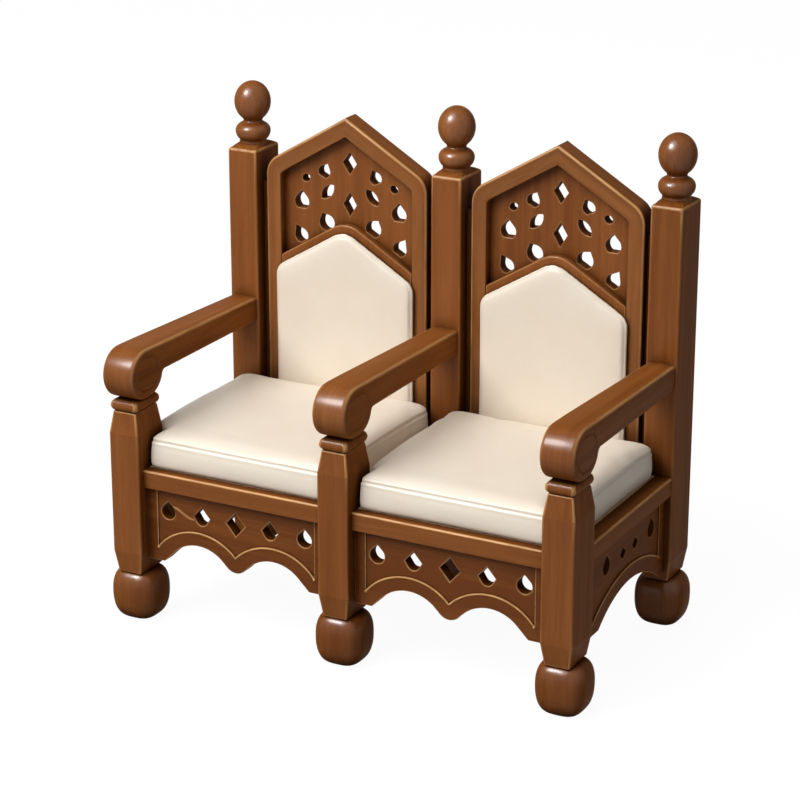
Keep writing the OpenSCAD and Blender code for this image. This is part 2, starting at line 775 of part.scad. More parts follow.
module front_apron(seat) {
    face = front_rail_face + front_apron_set;
    color(wood) flip_if(seat < 0) difference() {
        translate([seat_x, 0, 0]) difference() {
            plate(face, apron_t) front_apron_outline();
            plate(face - cut, field_depth + cut) front_field();
            plate(face - cut, apron_t + 2 * cut) translate([0, hole_row_h]) hole_row(front_hole_pitch);
        }
        seat_apron_dowels(joint_gap);
    }
}
module side_apron(seat) {
    run = rear_post_face - front_post_back;
    face = side_rail_face - side_apron_set;
    arch_z = side_arch_top - side_arch_r;
    band_r = (side_arch_r + side_band) * side_band_flatness;
    color(wood) flip_if(seat < 0) difference() {
        translate([face - apron_t / 2, front_post_back + run / 2, 0]) difference() {
            along(apron_t) difference() {
                translate([-run / 2, side_apron_low]) square([run, rail_low - side_apron_low]);
                translate([side_arch_shift, arch_z]) circle(r = side_arch_r, $fn = 96);
            }
            translate([apron_t - field_depth, 0, 0]) along(apron_t) difference() {
                translate([side_border - run / 2, side_apron_low])
                    square([run - 2 * side_border, rail_low - side_apron_low + cut]);
                translate([side_arch_shift, side_arch_top + side_band - band_r]) circle(r = band_r, $fn = 96);
            }
            along(apron_t + 2 * cut) translate([side_arch_shift, side_hole_row_h]) side_hole_row();
        }
        seat_apron_dowels(joint_gap);
    }
}
// The dowels of one seat's aprons
module seat_apron_dowels(gap) {
    low = rail_low - apron_dowel_l / 2 - gap;
    front_dowel_y = (front_rail_face + front_apron_set + field_depth + front_rail_back) / 2;
    side_dowel_x = side_rail_face - side_apron_set - apron_t / 2;
    side_mid = (front_post_back + rear_post_face) / 2;
    for (step = [-1.5, 0.5, 1.5])
        translate([seat_x + step * front_hole_pitch, front_dowel_y, low])
            cylinder(r = apron_dowel_r + gap, h = apron_dowel_l + 2 * gap);
    for (step = [-1.5, 1.5])
        translate([side_dowel_x, side_mid + step * side_hole_pitch, low])
            cylinder(r = apron_dowel_r + gap, h = apron_dowel_l + 2 * gap);
}
module apron_dowels() {
    color(board_wood) for (seat = [-1, 1]) flip_if(seat < 0) seat_apron_dowels(0);
}

// Backs: a pointed frame of two stiles, two raking heads and a sill round a pierced panel
function gable(grow, low, corner_r) =
    let (
        half = back_half_w + grow,
        apex = back_apex + rake_offset(grow),
        corner = apex - rake_slope * half
    )
    rounded_outline(
        [[-half, low], [half, low], [half, corner], [0, apex], [-half, corner]],
        [0, 0, corner_r, 0, corner_r]
    );
inner_corner_z = back_apex - rake_slope * back_half_w;
outer_corner_z = back_apex + rake_offset(frame_w) - rake_slope * (back_half_w + frame_w);
mitre_slope = (outer_corner_z - inner_corner_z) / frame_w;
function mitre_z(x) = inner_corner_z + (x - back_half_w) * mitre_slope;
module frame_ring() {
    difference() {
        plate(back_face, frame_d) polygon(gable(frame_w, seat_h, shoulder_r));
        plate(back_face - cut, frame_d + 2 * cut) polygon(gable(0, seat_h - cut, inner_corner_r));
        plate(back_face + panel_set, frame_d) polygon(gable(rebate, seat_h - cut, inner_corner_r));
    }
}
module sill_tenon(gap) {
    face = back_face + (panel_set - tenon_t) / 2;
    for (side = [-1, 1]) flip_if(side < 0)
        translate([back_half_w - cut, face - gap, seat_h + tenon_shoulder - gap])
            cube([tenon_l + cut + gap, tenon_t + 2 * gap, sill_h - 2 * tenon_shoulder + 2 * gap]);
}
module at_back(seat, outer) {
    translate([seat * seat_x, 0, 0]) flip_if(seat * (outer ? 1 : -1) < 0) children();
}
module back_stile(seat, outer) {
    near = back_half_w - frame_w;
    far = back_half_w + 2 * frame_w;
    color(wood) at_back(seat, outer) difference() {
        intersection() {
            frame_ring();
            plate(back_face - cut, frame_d + 2 * cut) polygon([
                [near, seat_h - cut], [far, seat_h - cut], [far, mitre_z(far)], [near, mitre_z(near)]
            ]);
        }
        sill_tenon(joint_gap);
    }
}
module back_head(seat, outer) {
    far = back_half_w + 2 * frame_w;
    top = back_apex + 2 * frame_w;
    color(wood) at_back(seat, outer) intersection() {
        frame_ring();
        plate(back_face - cut, frame_d + 2 * cut)
            polygon([[0, mitre_z(0)], [far, mitre_z(far)], [far, top], [0, top]]);
    }
}
module back_sill(seat) {
    color(wood) translate([seat * seat_x, 0, 0]) {
        difference() {
            translate([-back_half_w, back_face, seat_h]) cube([2 * back_half_w, frame_d, sill_h]);
            translate([-back_half_w - cut, back_face + panel_set, seat_h + sill_h - rebate])
                cube([2 * (back_half_w + cut), frame_d, rebate + cut]);
        }
        sill_tenon(0);
    }
}
module back_fillet(seat, outer) {
    start = back_half_w + frame_w;
    color(dark_wood) at_back(seat, outer)
        translate([start, back_face + fillet_set, seat_h])
            cube([clear_half - start, fillet_t, outer_corner_z - shoulder_r - seat_h]);
}
// The pierced pattern, mirrored about the panel's middle, below the opening's point
module leaf(l, w) {
    r = (l * l + w * w) / (4 * w);
    intersection() {
        translate([0, r - w / 2]) circle(r = r);
        translate([0, w / 2 - r]) circle(r = r);
    }
}
module cut_drop(r, reach, lean) {
    rotate(lean) intersection() {
        drop(r, reach);
        translate([-2 * r, -r * 0.8]) square([4 * r, 2 * reach]);
    }
}
// Diamonds: distance below the point, width, height
fret_diamonds = [[74, 40, 58], [184, 38, 62]];
// Drops: distance from the middle, distance below the point, radius, reach of the tip, lean
fret_drops = [[76, 106, 17, 24, 25], [144, 194, 21, 31, 0], [69, 242, 22, 28, -30], [146, 286, 19, 32, -30]];
// Leaves: distance from the middle, distance below the point, length, width, lean
fret_leaves = [[66, 158, 52, 27, -48], [130, 128, 24, 20, -30]];
module fret_pattern() {
    for (d = fret_diamonds) translate([0, -d[0]]) diamond(d[1], d[2]);
    for (side = [-1, 1]) mirror([side < 0 ? 1 : 0, 0]) {
        for (d = fret_drops) translate([d[0], -d[1]]) cut_drop(d[2], d[3], d[4]);
        for (d = fret_leaves) translate([d[0], -d[1]]) rotate(d[4]) leaf(d[2], d[3]);
    }
}
module back_panel(seat) {
    color(wood) translate([seat * seat_x, 0, 0]) difference() {
        plate(back_face + panel_set, panel_t)
            polygon(gable(rebate - board_gap, seat_h + sill_h - rebate + board_gap, inner_corner_r));
        plate(back_face + panel_set - cut, panel_t + 2 * cut) translate([0, back_apex]) fret_pattern();
    }
}
module pad_board(seat) {
    half = back_half_w - board_gap;
    apex = pad_apex + rake_offset(board_band);
    corner = apex - rake_slope * half;
    color(wood) translate([seat * seat_x, 0, 0])
        plate(back_face, panel_set) polygon(rounded_outline(
            [[-half, seat_h + sill_h], [half, seat_h + sill_h], [half, corner], [0, apex], [-half, corner]],
            [0, 0, 0, pad_point_r + board_band, 0]
        ));
}

// Leather pads: each is one closed skin of rings round its outline, with a seam groove and a crown
function refine(points, step) = [
    for (i = [0:len(points) - 1])
        let (a = points[i], b = points[(i + 1) % len(points)], n = max(1, ceil(norm(b - a) / step)))
        for (k = [0:n - 1]) a + (b - a) * k / n
];
function inset(points, distance) = [
    for (i = [0:len(points) - 1])
        let (
            n = len(points),
            before = unit(points[i] - points[(i + n - 1) % n]),
            after = unit(points[(i + 1) % n] - points[i]),
            inward = unit([-before.y - after.y, before.x + after.x])
        )
        points[i] + distance * inward
];
function shrink(points, middle, share) = [for (p = points) middle + (p - middle) * share];
function raised(points, height) = [for (p = points) [p.x, p.y, height]];
module pad_skin(outline, middle, edge, crown_base, crown, shares) {
    n = len(outline);
    rim = inset(outline, edge[len(edge) - 1][0]);
    rings = concat(
        [for (e = edge) raised(inset(outline, e[0]), e[1])],
        [for (s = shares) raised(shrink(rim, middle, s), crown_base + crown * (1 - s ^ 3))]
    );
    last = len(rings) - 1;
    points = concat(
        [for (ring = rings) each ring],
        [[middle.x, middle.y, edge[0][1]], [middle.x, middle.y, crown_base + crown]]
    );
    low = len(rings) * n;
    high = low + 1;
    faces = [
        for (r = [0:last - 1], i = [0:n - 1])
            let (a = r * n + i, b = r * n + (i + 1) % n)
            each [[a, a + n, b + n], [a, b + n, b]],
        for (i = [0:n - 1]) [low, i, (i + 1) % n],
        for (i = [0:n - 1]) [high, last * n + (i + 1) % n, last * n + i]
    ];
    polyhedron(points = points, faces = faces, convexity = 4);
}
// Inward distance and height of the rings up the edge of a pad of a given thickness
function pad_edge(thickness, roll) = [
    [roll * 0.4, 0],
    [roll * 0.08, thickness * 0.12],
    [0, thickness * 0.32],
    [roll * 0.1, thickness * 0.62],
    [roll * 0.25, thickness * 0.76],
    [roll * 0.5, thickness * 0.8],
    [roll * 0.32, thickness * 0.84],
    [roll * 0.55, thickness * 0.92],
    [roll, thickness * 0.98]
];
pad_shares = [0.97, 0.88, 0.72, 0.5, 0.25];
// Longest step between the points round a pad
pad_step = 62;
module seat_cushion(seat) {
    left = post_w / 2 + pad_gap;
    right = post_pitch - left;
    right_under_arm = side_rail_inner + cushion_side_seat;
    front = front_rail_face + cushion_front_set;
    step = front_post_back + pad_gap;
    rear = back_face - pad_t - pad_crown - pad_gap;
    middle = [seat_x, (front + rear) / 2];
    outline = refine(rounded_outline(
        [
            [left, front], [right, front], [right, step], [right_under_arm, step],
            [right_under_arm, rear], [cushion_middle_x, rear], [cushion_middle_x, step], [left, step]
        ],
        [
            cushion_corner_r, cushion_corner_r, notch_r, cushion_corner_r,
            cushion_rear_r, cushion_rear_r, cushion_corner_r, notch_r
        ]
    ), pad_step);
    color(leather) flip_if(seat < 0) translate([0, 0, seat_h])
        pad_skin(outline, middle, pad_edge(cushion_t, cushion_roll), cushion_t, cushion_crown, pad_shares);
}
module back_pad(seat) {
    corner = pad_apex - rake_slope * pad_half_w;
    middle = [0, (pad_low + corner) / 2];
    outline = refine(rounded_outline(
        [
            [-pad_half_w, pad_low], [pad_half_w, pad_low],
            [pad_half_w, corner], [0, pad_apex], [-pad_half_w, corner]
        ],
        [pad_corner_r, pad_corner_r, pad_shoulder_r, pad_point_r, pad_shoulder_r]
    ), pad_step);
    color(leather) translate([seat * seat_x, back_face, 0]) rotate([90, 0, 0])
        pad_skin(outline, middle, pad_edge(pad_t, pad_roll), pad_t, pad_crown, pad_shares);
}

rear_post(-1);  // rear_post_left
rear_post(0);  // rear_post_centre
rear_post(1);  // rear_post_right
front_post(-1);  // front_post_left
front_post(0);  // front_post_centre
front_post(1);  // front_post_right
foot(-1, rear_y);  // rear_foot_left
foot(0, rear_y);  // rear_foot_centre
foot(1, rear_y);  // rear_foot_right
foot(-1, front_y);  // front_foot_left
foot(0, front_y);  // front_foot_centre
foot(1, front_y);  // front_foot_right
finial(-1);  // finial_left
finial(0);  // finial_centre
finial(1);  // finial_right
armrest(-1);  // armrest_left
armrest(0);  // armrest_centre
armrest(1);  // armrest_right
front_rail(-1);  // front_rail_left
front_rail(1);  // front_rail_right
rear_rail(-1);  // rear_rail_left
rear_rail(1);  // rear_rail_right
side_rail(-1);  // side_rail_left
side_rail(0);  // side_rail_centre
side_rail(1);  // side_rail_right
front_apron(-1);  // front_apron_left
front_apron(1);  // front_apron_right
side_apron(-1);  // side_apron_left
side_apron(1);  // side_apron_right
seat_deck(-1);  // seat_deck_left
seat_deck(1);  // seat_deck_right
seat_cushion(-1);  // seat_cushion_left
seat_cushion(1);  // seat_cushion_right
back_stile(-1, true);  // back_stile_left_outer
back_stile(-1, false);  // back_stile_left_inner
back_stile(1, false);  // back_stile_right_inner
back_stile(1, true);  // back_stile_right_outer
back_head(-1, true);  // back_head_left_outer
back_head(-1, false);  // back_head_left_inner
back_head(1, false);  // back_head_right_inner
back_head(1, true);  // back_head_right_outer
back_sill(-1);  // back_sill_left
back_sill(1);  // back_sill_right
back_panel(-1);  // back_panel_left
back_panel(1);  // back_panel_right
pad_board(-1);  // pad_board_left
pad_board(1);  // pad_board_right
back_pad(-1);  // back_pad_left
back_pad(1);  // back_pad_right
back_fillet(-1, true);  // back_fillet_left_outer
back_fillet(-1, false);  // back_fillet_left_inner
back_fillet(1, false);  // back_fillet_right_inner
back_fillet(1, true);  // back_fillet_right_outer
corner_blocks();
frame_screws();
apron_dowels();
arm_dowels();
foot_studs();
foot_glides();
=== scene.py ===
import json
import math
import random

import bmesh
import bpy
import numpy as np
from mathutils import Matrix, Vector


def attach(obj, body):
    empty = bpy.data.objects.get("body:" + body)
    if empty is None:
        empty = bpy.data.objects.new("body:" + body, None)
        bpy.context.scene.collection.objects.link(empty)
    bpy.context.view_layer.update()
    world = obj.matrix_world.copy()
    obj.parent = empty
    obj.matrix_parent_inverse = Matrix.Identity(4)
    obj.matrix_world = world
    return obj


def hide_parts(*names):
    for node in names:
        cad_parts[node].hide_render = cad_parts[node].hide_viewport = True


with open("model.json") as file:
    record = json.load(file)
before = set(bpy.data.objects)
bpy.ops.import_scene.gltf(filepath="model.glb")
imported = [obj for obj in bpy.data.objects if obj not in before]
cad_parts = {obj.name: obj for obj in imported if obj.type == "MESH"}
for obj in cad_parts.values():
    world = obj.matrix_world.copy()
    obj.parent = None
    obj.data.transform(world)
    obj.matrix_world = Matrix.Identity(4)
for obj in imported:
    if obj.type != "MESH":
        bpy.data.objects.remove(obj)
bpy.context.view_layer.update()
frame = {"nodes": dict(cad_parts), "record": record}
nodes = frame["nodes"]
print("frame loaded:", len(nodes), "nodes")

# where the columns and the two seats stand, in metres
columnPlaces = {"left": -0.6, "centre": 0.0, "right": 0.6}
seatPlaces = {"left": -0.3, "right": 0.3}
frontRow, rearRow = -0.2905, 0.3045
frontPostBack, rearPostFace = -0.2315, 0.2445
backFace = 0.2615
railLow, seatTop = 0.372, 0.419
footTop = 0.136
frontPostTop, rearPostTop = 0.602, 1.125


# outlines in two dimensions

def clamped(value, low=0.0, high=1.0):
    return min(max(value, low), high)


def cosSin(degrees):
    t = math.radians(degrees)
    return math.cos(t), math.sin(t)


def arc(centre, radius, start, end, steps):
    points = []
    for i in range(steps + 1):
        c, d = cosSin(start + (end - start) * i / steps)
        points.append((centre[0] + radius * c, centre[1] + radius * d))
    return points


def onLine(a, b, share):
    return a[0] + (b[0] - a[0]) * share, a[1] + (b[1] - a[1]) * share


def roundCorner(before, corner, after, radius, steps):
    before, corner, after = Vector(before), Vector(corner), Vector(after)
    if radius <= 0:
        return [tuple(corner)]
    u, v = (before - corner).normalized(), (after - corner).normalized()
    half = u.angle(v) / 2
    middle = corner + (u + v).normalized() * (radius / math.sin(half))
    start = corner + u * (radius / math.tan(half)) - middle
    turn = start.angle_signed(corner + v * (radius / math.tan(half)) - middle)
    points = []
    for i in range(steps + 1):
        p = start.copy()
        p.rotate(Matrix.Rotation(-turn * i / steps, 2))
        points.append(tuple(middle + p))
    return points


def gabledOutline(half, low, apex, slope, radii, steps):
    # a five-cornered board with a pointed top
    shoulder = apex - slope * half
    corners = [(-half, low), (half, low), (half, shoulder), (0, apex), (-half, shoulder)]
    points = []
    for i, radius in enumerate(radii):
        points += roundCorner(corners[i - 1], corners[i], corners[(i + 1) % 5], radius, steps)
    return points


def withoutTwins(points, least=1e-6):
    result = []
    for p in points:
        if not result or (Vector(p) - Vector(result[-1])).length > least:
            result.append(p)
    if (Vector(result[0]) - Vector(result[-1])).length <= least:
        result.pop()
    return result


def runLengths(points):
    # how far along the line each of its points lies
    runs = [0.0]
    for a, b in zip(points, points[1:]):
        runs.append(runs[-1] + (Vector(b) - Vector(a)).length)
    return runs


def cornerRing(halfW, halfD, radius, z, steps):
    # a rounded rectangle with evenly matched points, so that rings can be skinned
    ring = []
    for cx, cy, start in ((1, 1, 0), (-1, 1, 90), (-1, -1, 180), (1, -1, 270)):
        corner = arc((cx * (halfW - radius), cy * (halfD - radius)), radius, start, start + 90, steps)
        ring += [Vector((x, y, z)) for x, y in corner]
    return ring


def powerRing(half, power, z, sides):
    # a power of 2 is a circle, and a higher one is squarer
    ring = []
    for k in range(sides):
        c, d = cosSin(360 * k / sides)
        reach = half * (abs(c) ** power + abs(d) ** power) ** (-1 / power)
        ring.append(Vector((reach * c, reach * d, z)))
    return ring


# meshes

def linked(name, data):
    thing = bpy.data.objects.new(name, data)
    bpy.context.scene.collection.objects.link(thing)
    return thing


def evaluatedMesh(thing):
    depsgraph = bpy.context.evaluated_depsgraph_get()
    return bpy.data.meshes.new_from_object(thing.evaluated_get(depsgraph))


def bridge(bm, first, second, closed=True, flipped=False):
    # faces between two rows of vertices
    count = len(first)
    faces = []
    for i in range(count if closed else count - 1):
        j = (i + 1) % count
        corners = (first[i], first[j], second[j], second[i])
        faces.append(bm.faces.new(corners[::-1] if flipped else corners))
    return faces


def skin(bm, rings):
    # rings joined one to the next, with both ends capped
    rows = [[bm.verts.new(p) for p in ring] for ring in rings]
    faces = []
    for low, high in zip(rows, rows[1:]):
        faces += bridge(bm, low, high)
    faces.append(bm.faces.new(rows[0][::-1]))
    faces.append(bm.faces.new(rows[-1]))
    bmesh.ops.recalc_face_normals(bm, faces=faces)


def addBoard(bm, loops, thickness, edge, place):
    # a board with eased edges: the first loop is its outline, the others are holes
    curve = bpy.data.curves.new("boardOutline", "CURVE")
    curve.dimensions = "2D"
    curve.fill_mode = "BOTH"
    curve.extrude = thickness / 2 - edge
    curve.bevel_depth = edge
    curve.bevel_resolution = 2
    curve.offset = -edge
    for loop in loops:
        spline = curve.splines.new("POLY")
        spline.points.add(len(loop) - 1)
        for point, (u, v) in zip(spline.points, loop):
            point.co = (u, v, 0, 1)
        spline.use_cyclic_u = True
    holder = linked("boardOutline", curve)
    mesh = evaluatedMesh(holder)
    board = bmesh.new()
    board.from_mesh(mesh)
    bmesh.ops.remove_doubles(board, verts=board.verts, dist=2e-6)
    bmesh.ops.recalc_face_normals(board, faces=board.faces)
    bmesh.ops.transform(board, matrix=place, verts=board.verts)
    board.to_mesh(mesh)
    board.free()
    bm.from_mesh(mesh)
    bpy.data.objects.remove(holder)
    bpy.data.curves.remove(curve)
    bpy.data.meshes.remove(mesh)


def acrossAt(x, face, thickness):
    # u runs across the chair and v up, with the thickness going back from the face
    return Matrix.Translation((x, face + thickness / 2, 0)) @ Matrix.Rotation(math.radians(90), 4, "X")


def alongAt(x, y):
    # u runs from front to back and v up, with the board's middle at x
    turn = Matrix(((0, 0, 1, 0), (1, 0, 0, 0), (0, 1, 0, 0), (0, 0, 0, 1)))
    return Matrix.Translation((x, y, 0)) @ turn


def roundTube(bm, path, radius, ball, sides=8):
    # a round moulding along an open path, drawn out of its ends into small balls
    rings = []
    for i, p in enumerate(path):
        along = (path[min(i + 1, len(path) - 1)] - path[max(i - 1, 0)]).normalized()
        side = along.cross(Vector((0, 0, 1))).normalized()
        up = side.cross(along).normalized()
        turns = [cosSin(360 * k / sides) for k in range(sides)]
        rings.append([p + radius * (c * side + d * up) for c, d in turns])
    skin(bm, rings)
    for end in (path[0], path[-1]):
        place = Matrix.Translation(end)
        bmesh.ops.create_uvsphere(bm, u_segments=16, v_segments=10, radius=ball, matrix=place)


# what each mesh stores for the materials

wearAndHighlightSettings = {
    "flatAngle": 0.012,
    "sameFacing": 0.9998,
    "bentAngle": 0.1,
    "bentShare": 1.2,
    "widest": 0.007,
    "leastCurvature": 75,
    "fullCurvature": 200,
}


def flatRegions(bm, s):
    # numbers the groups of faces that lie in one plane
    region = [-1] * len(bm.faces)
    for seed in bm.faces:
        if region[seed.index] >= 0:
            continue
        region[seed.index] = seed.index
        waiting = [seed]
        while waiting:
            face = waiting.pop()
            for e in face.edges:
                if len(e.link_faces) != 2 or abs(e.calc_face_angle_signed(0.0)) > s["flatAngle"]:
                    continue
                for near in e.link_faces:
                    if region[near.index] < 0 and near.normal.dot(seed.normal) > s["sameFacing"]:
                        region[near.index] = seed.index
                        waiting.append(near)
    return region


def markWearAndHighlight(bm, scale, fade, s):
    # narrow strips that turn sharply on both sides are worn edges that also carry a painted highlight, with a
    # share from 0 to 1
    layer = bm.loops.layers.float.new("wearAndHighlight")
    bm.normal_update()
    bm.faces.index_update()
    region = flatRegions(bm, s)
    area, turned, bent, low, high = {}, {}, {}, {}, {}
    for face in bm.faces:
        key = region[face.index]
        area[key] = area.get(key, 0.0) + face.calc_area()
        for v in face.verts:
            low[key] = [min(a, b) for a, b in zip(low.get(key, v.co), v.co)]
            high[key] = [max(a, b) for a, b in zip(high.get(key, v.co), v.co)]
        for e in face.edges:
            if len(e.link_faces) == 2 and region[e.link_faces[0].index] != region[e.link_faces[1].index]:
                angle = e.calc_face_angle_signed(0.0)
                turned[key] = turned.get(key, 0.0) + e.calc_length() * angle
                if abs(angle) > s["bentAngle"]:
                    bent[key] = bent.get(key, 0.0) + e.calc_length()
    share = {}
    for key in area:
        length = max((Vector(high[key]) - Vector(low[key])).length, 1e-6)
        width = max(area[key] / length, 1e-6)
        curvature = turned.get(key, 0.0) / 2 / length / width
        wornAndLit = clamped((curvature - s["leastCurvature"]) / (s["fullCurvature"] - s["leastCurvature"]))
        isStrip = width < s["widest"] and bent.get(key, 0.0) > s["bentShare"] * length
        share[key] = wornAndLit * scale if isStrip else 0.0
    for face in bm.faces:
        if share[region[face.index]] <= 0:
            continue
        for loop in face.loops:
            near = [share[region[f.index]] for f in loop.vert.link_faces if share[region[f.index]] > 0]
            loop[layer] = sum(near) / len(near) * (fade(loop.vert.co) if fade else 1.0)


def wearAndHighlightFromShare(bm, share):
    # for a mesh whose vertices were given their share of wear and painted highlight as they were made
    wearAndHighlight = bm.loops.layers.float.new("wearAndHighlight")
    for face in bm.faces:
        for loop in face.loops:
            loop[wearAndHighlight] = loop.vert[share]
    bm.verts.layers.float.remove(share)


def vertexRows(mesh, kind="co"):
    values = np.zeros(len(mesh.vertices) * 3)
    mesh.vertices.foreach_get(kind, values)
    return values.reshape(-1, 3)


def cornerVertices(mesh):
    # the vertex at each corner of each face
    index = np.zeros(len(mesh.loops), dtype=np.int32)
    mesh.loops.foreach_get("vertex_index", index)
    return index


def takeValues(mesh, name):
    # reads one number for each vertex, and takes it off the mesh
    values = np.zeros(len(mesh.vertices))
    mesh.attributes[name].data.foreach_get("value", values)
    mesh.attributes.remove(mesh.attributes[name])
    return values


def storeValues(mesh, name, values):
    layer = mesh.attributes.new(name, "FLOAT", "POINT")
    layer.data.foreach_set("value", np.asarray(values, dtype=np.float32))


toneDraw = random.Random(41)


def grainAlong(mesh, along, toneAndShade=0.0, curved=None):
    # stores where each corner lies in its own plank: x and y across the grain, z along it
    along = Vector(along)
    side = along.orthogonal().normalized()
    turn = np.array([side, along.cross(side), along], dtype=np.float64)
    offset = np.array([toneDraw.uniform(-9, 9) for axis in range(3)])
    values = (vertexRows(mesh) @ turn.T + offset)[cornerVertices(mesh)]
    if curved:
        chosen, places = curved
        values[chosen] = places[chosen] + offset
    layer = mesh.attributes.new("grainPlace", "FLOAT_VECTOR", "CORNER")
    layer.data.foreach_set("vector", values.astype(np.float32).ravel())
    # a piece's tone is a random draw plus the offset it is given, which for the feet and aprons is painted
    # shade
    shade = toneDraw.uniform(-1, 1) + toneAndShade
    storeValues(mesh, "toneAndShade", np.full(len(mesh.vertices), shade))


# pieces

def woodMesh(bm, name, sharpAngle):
    mesh = bpy.data.meshes.new(name)
    bm.to_mesh(mesh)
    bm.free()
    mesh.materials.append(polishedWood)
    mesh.shade_smooth()
    mesh.set_sharp_from_angle(angle=math.radians(sharpAngle))
    return mesh


def placePiece(name, mesh, replaced, evenShading=False):
    piece = linked(name, mesh)
    if evenShading:
        # wide flat faces keep their own normals beside the eased edges
        piece.modifiers.new("evenShading", "WEIGHTED_NORMAL").keep_sharp = True
    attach(piece, "root")
    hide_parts(*replaced)


def addPiece(name, bm, grain, sharpAngle, wearAndHighlight=1.0, fade=None, toneAndShade=0.0, polish=None):
    if wearAndHighlight:
        markWearAndHighlight(bm, wearAndHighlight, fade, wearAndHighlightSettings)
    mesh = woodMesh(bm, name, sharpAngle)
    grainAlong(mesh, grain, toneAndShade)
    if polish:
        # rounded parts are polished brightest, with a share from 0 to 1
        storeValues(mesh, "polish", [polish(v.co) for v in mesh.vertices])
    placePiece(name, mesh, [name], evenShading=True)


# materials

def newMaterial(name):
    # gives the material, its node tree and the sockets of its shader
    material = bpy.data.materials.new(name)
    material.use_nodes = True
    tree = material.node_tree
    return material, tree, tree.nodes["Principled BSDF"].inputs


def feed(tree, inputs, values):
    # numbers and colours are set on a socket, and another node's output is linked to it
    for key, value in values.items():
        if isinstance(value, (int, float, tuple)):
            inputs[key].default_value = value
        else:
            tree.links.new(value, inputs[key])


def addNode(tree, kind, values=None, **settings):
    node = tree.nodes.new(kind)
    for key, value in settings.items():
        setattr(node, key, value)
    feed(tree, node.inputs, values or {})
    return node


def fromMesh(tree, name, output="Fac"):
    return addNode(tree, "ShaderNodeAttribute", attribute_name=name).outputs[output]


def objectPlace(tree):
    return addNode(tree, "ShaderNodeTexCoord").outputs["Object"]


def calc(tree, operation, *values):
    return addNode(tree, "ShaderNodeMath", dict(enumerate(values)), operation=operation).outputs[0]


def weighted(tree, *pairs):
    # the sum of some values, each times its weight
    total = 0.0
    for value, weight in pairs:
        total = calc(tree, "MULTIPLY_ADD", value, weight, total)
    return total


def noise(tree, place, scale, detail, roughness=0.5, distortion=0.0):
    # scale has one factor for each axis
    spread = addNode(tree, "ShaderNodeVectorMath", {0: place, 1: scale}, operation="MULTIPLY")
    values = {"Vector": spread.outputs[0], "Scale": 1.0, "Detail": detail,
              "Roughness": roughness, "Distortion": distortion}
    return addNode(tree, "ShaderNodeTexNoise", values).outputs["Fac"]


def ramp(tree, source, stops, colours):
    node = addNode(tree, "ShaderNodeValToRGB", {"Fac": source})
    elements = node.color_ramp.elements
    while len(elements) < len(stops):
        elements.new(0.5)
    for element, position, colour in zip(elements, stops, colours):
        element.position = position
        element.color = (*colour, 1)
    return node.outputs["Color"]


def mask(tree, source, stops, least=0.0):
    return ramp(tree, source, stops, [(least, least, least), (1, 1, 1)])


def mixColours(tree, factor, first, second):
    node = addNode(tree, "ShaderNodeMix", data_type="RGBA")
    feed(tree, node.inputs, {0: factor, 6: first, 7: (*second, 1)})
    return node.outputs[2]


def mapRange(tree, value, reach, span=(0.0, 1.0)):
    values = {"Value": value, "From Min": span[0], "From Max": span[1],
              "To Min": reach[0], "To Max": reach[1]}
    return addNode(tree, "ShaderNodeMapRange", values).outputs[0]


def bump(tree, height, strength, distance, **settings):
    values = {"Height": height, "Strength": strength, "Distance": distance}
    return addNode(tree, "ShaderNodeBump", values, **settings)


woodSettings = {
    "dark": (0.145, 0.040, 0.006),
    "middle": (0.223, 0.070, 0.014),
    "light": (0.293, 0.101, 0.025),
    "toneStops": (0.30, 0.50, 0.72),
    "toneReach": 0.07,
    # a paler gold for worn edges, which also stands in for the highlight where the edges catch the light
    "paleGoldAndHighlight": (0.82, 0.45, 0.18),
    "paleGoldAndHighlightShare": 0.86,
    "figureScale": (30, 30, 1.3),
    "figureShare": 0.55,
    "fibreScale": (330, 330, 9),
    "fibreShare": 0.25,
    "cloudScale": (5, 5, 2),
    "cloudShare": 0.2,
    "poreScale": (1300, 1300, 46),
    "poreStops": (0.60, 0.72),
    "poreShade": 0.45,
    "poreRoughness": 0.4,
    "patchScale": (60, 60, 14),
    "patchStops": (0.30, 0.62),
    "leastPatch": 0.55,
    "roughness": (0.36, 0.56),
    "gloss": (0.06, 0.01),
    "coat": (0.16, 0.015),
    "coatRoughness": 0.22,
    "extraPolish": 2.6,
    "glossAngles": (0.14, 0.45),
    # the painted corner shade: how far it looks, the occlusion it spans and how dark it gets
    "cornerReach": 0.06,
    "cornerOpen": (0.25, 0.85),
    "cornerShade": 0.27,
    "fibreHeight": 0.6,
    "figureHeight": 1.6,
    "bump": (0.35, 0.0006),
}


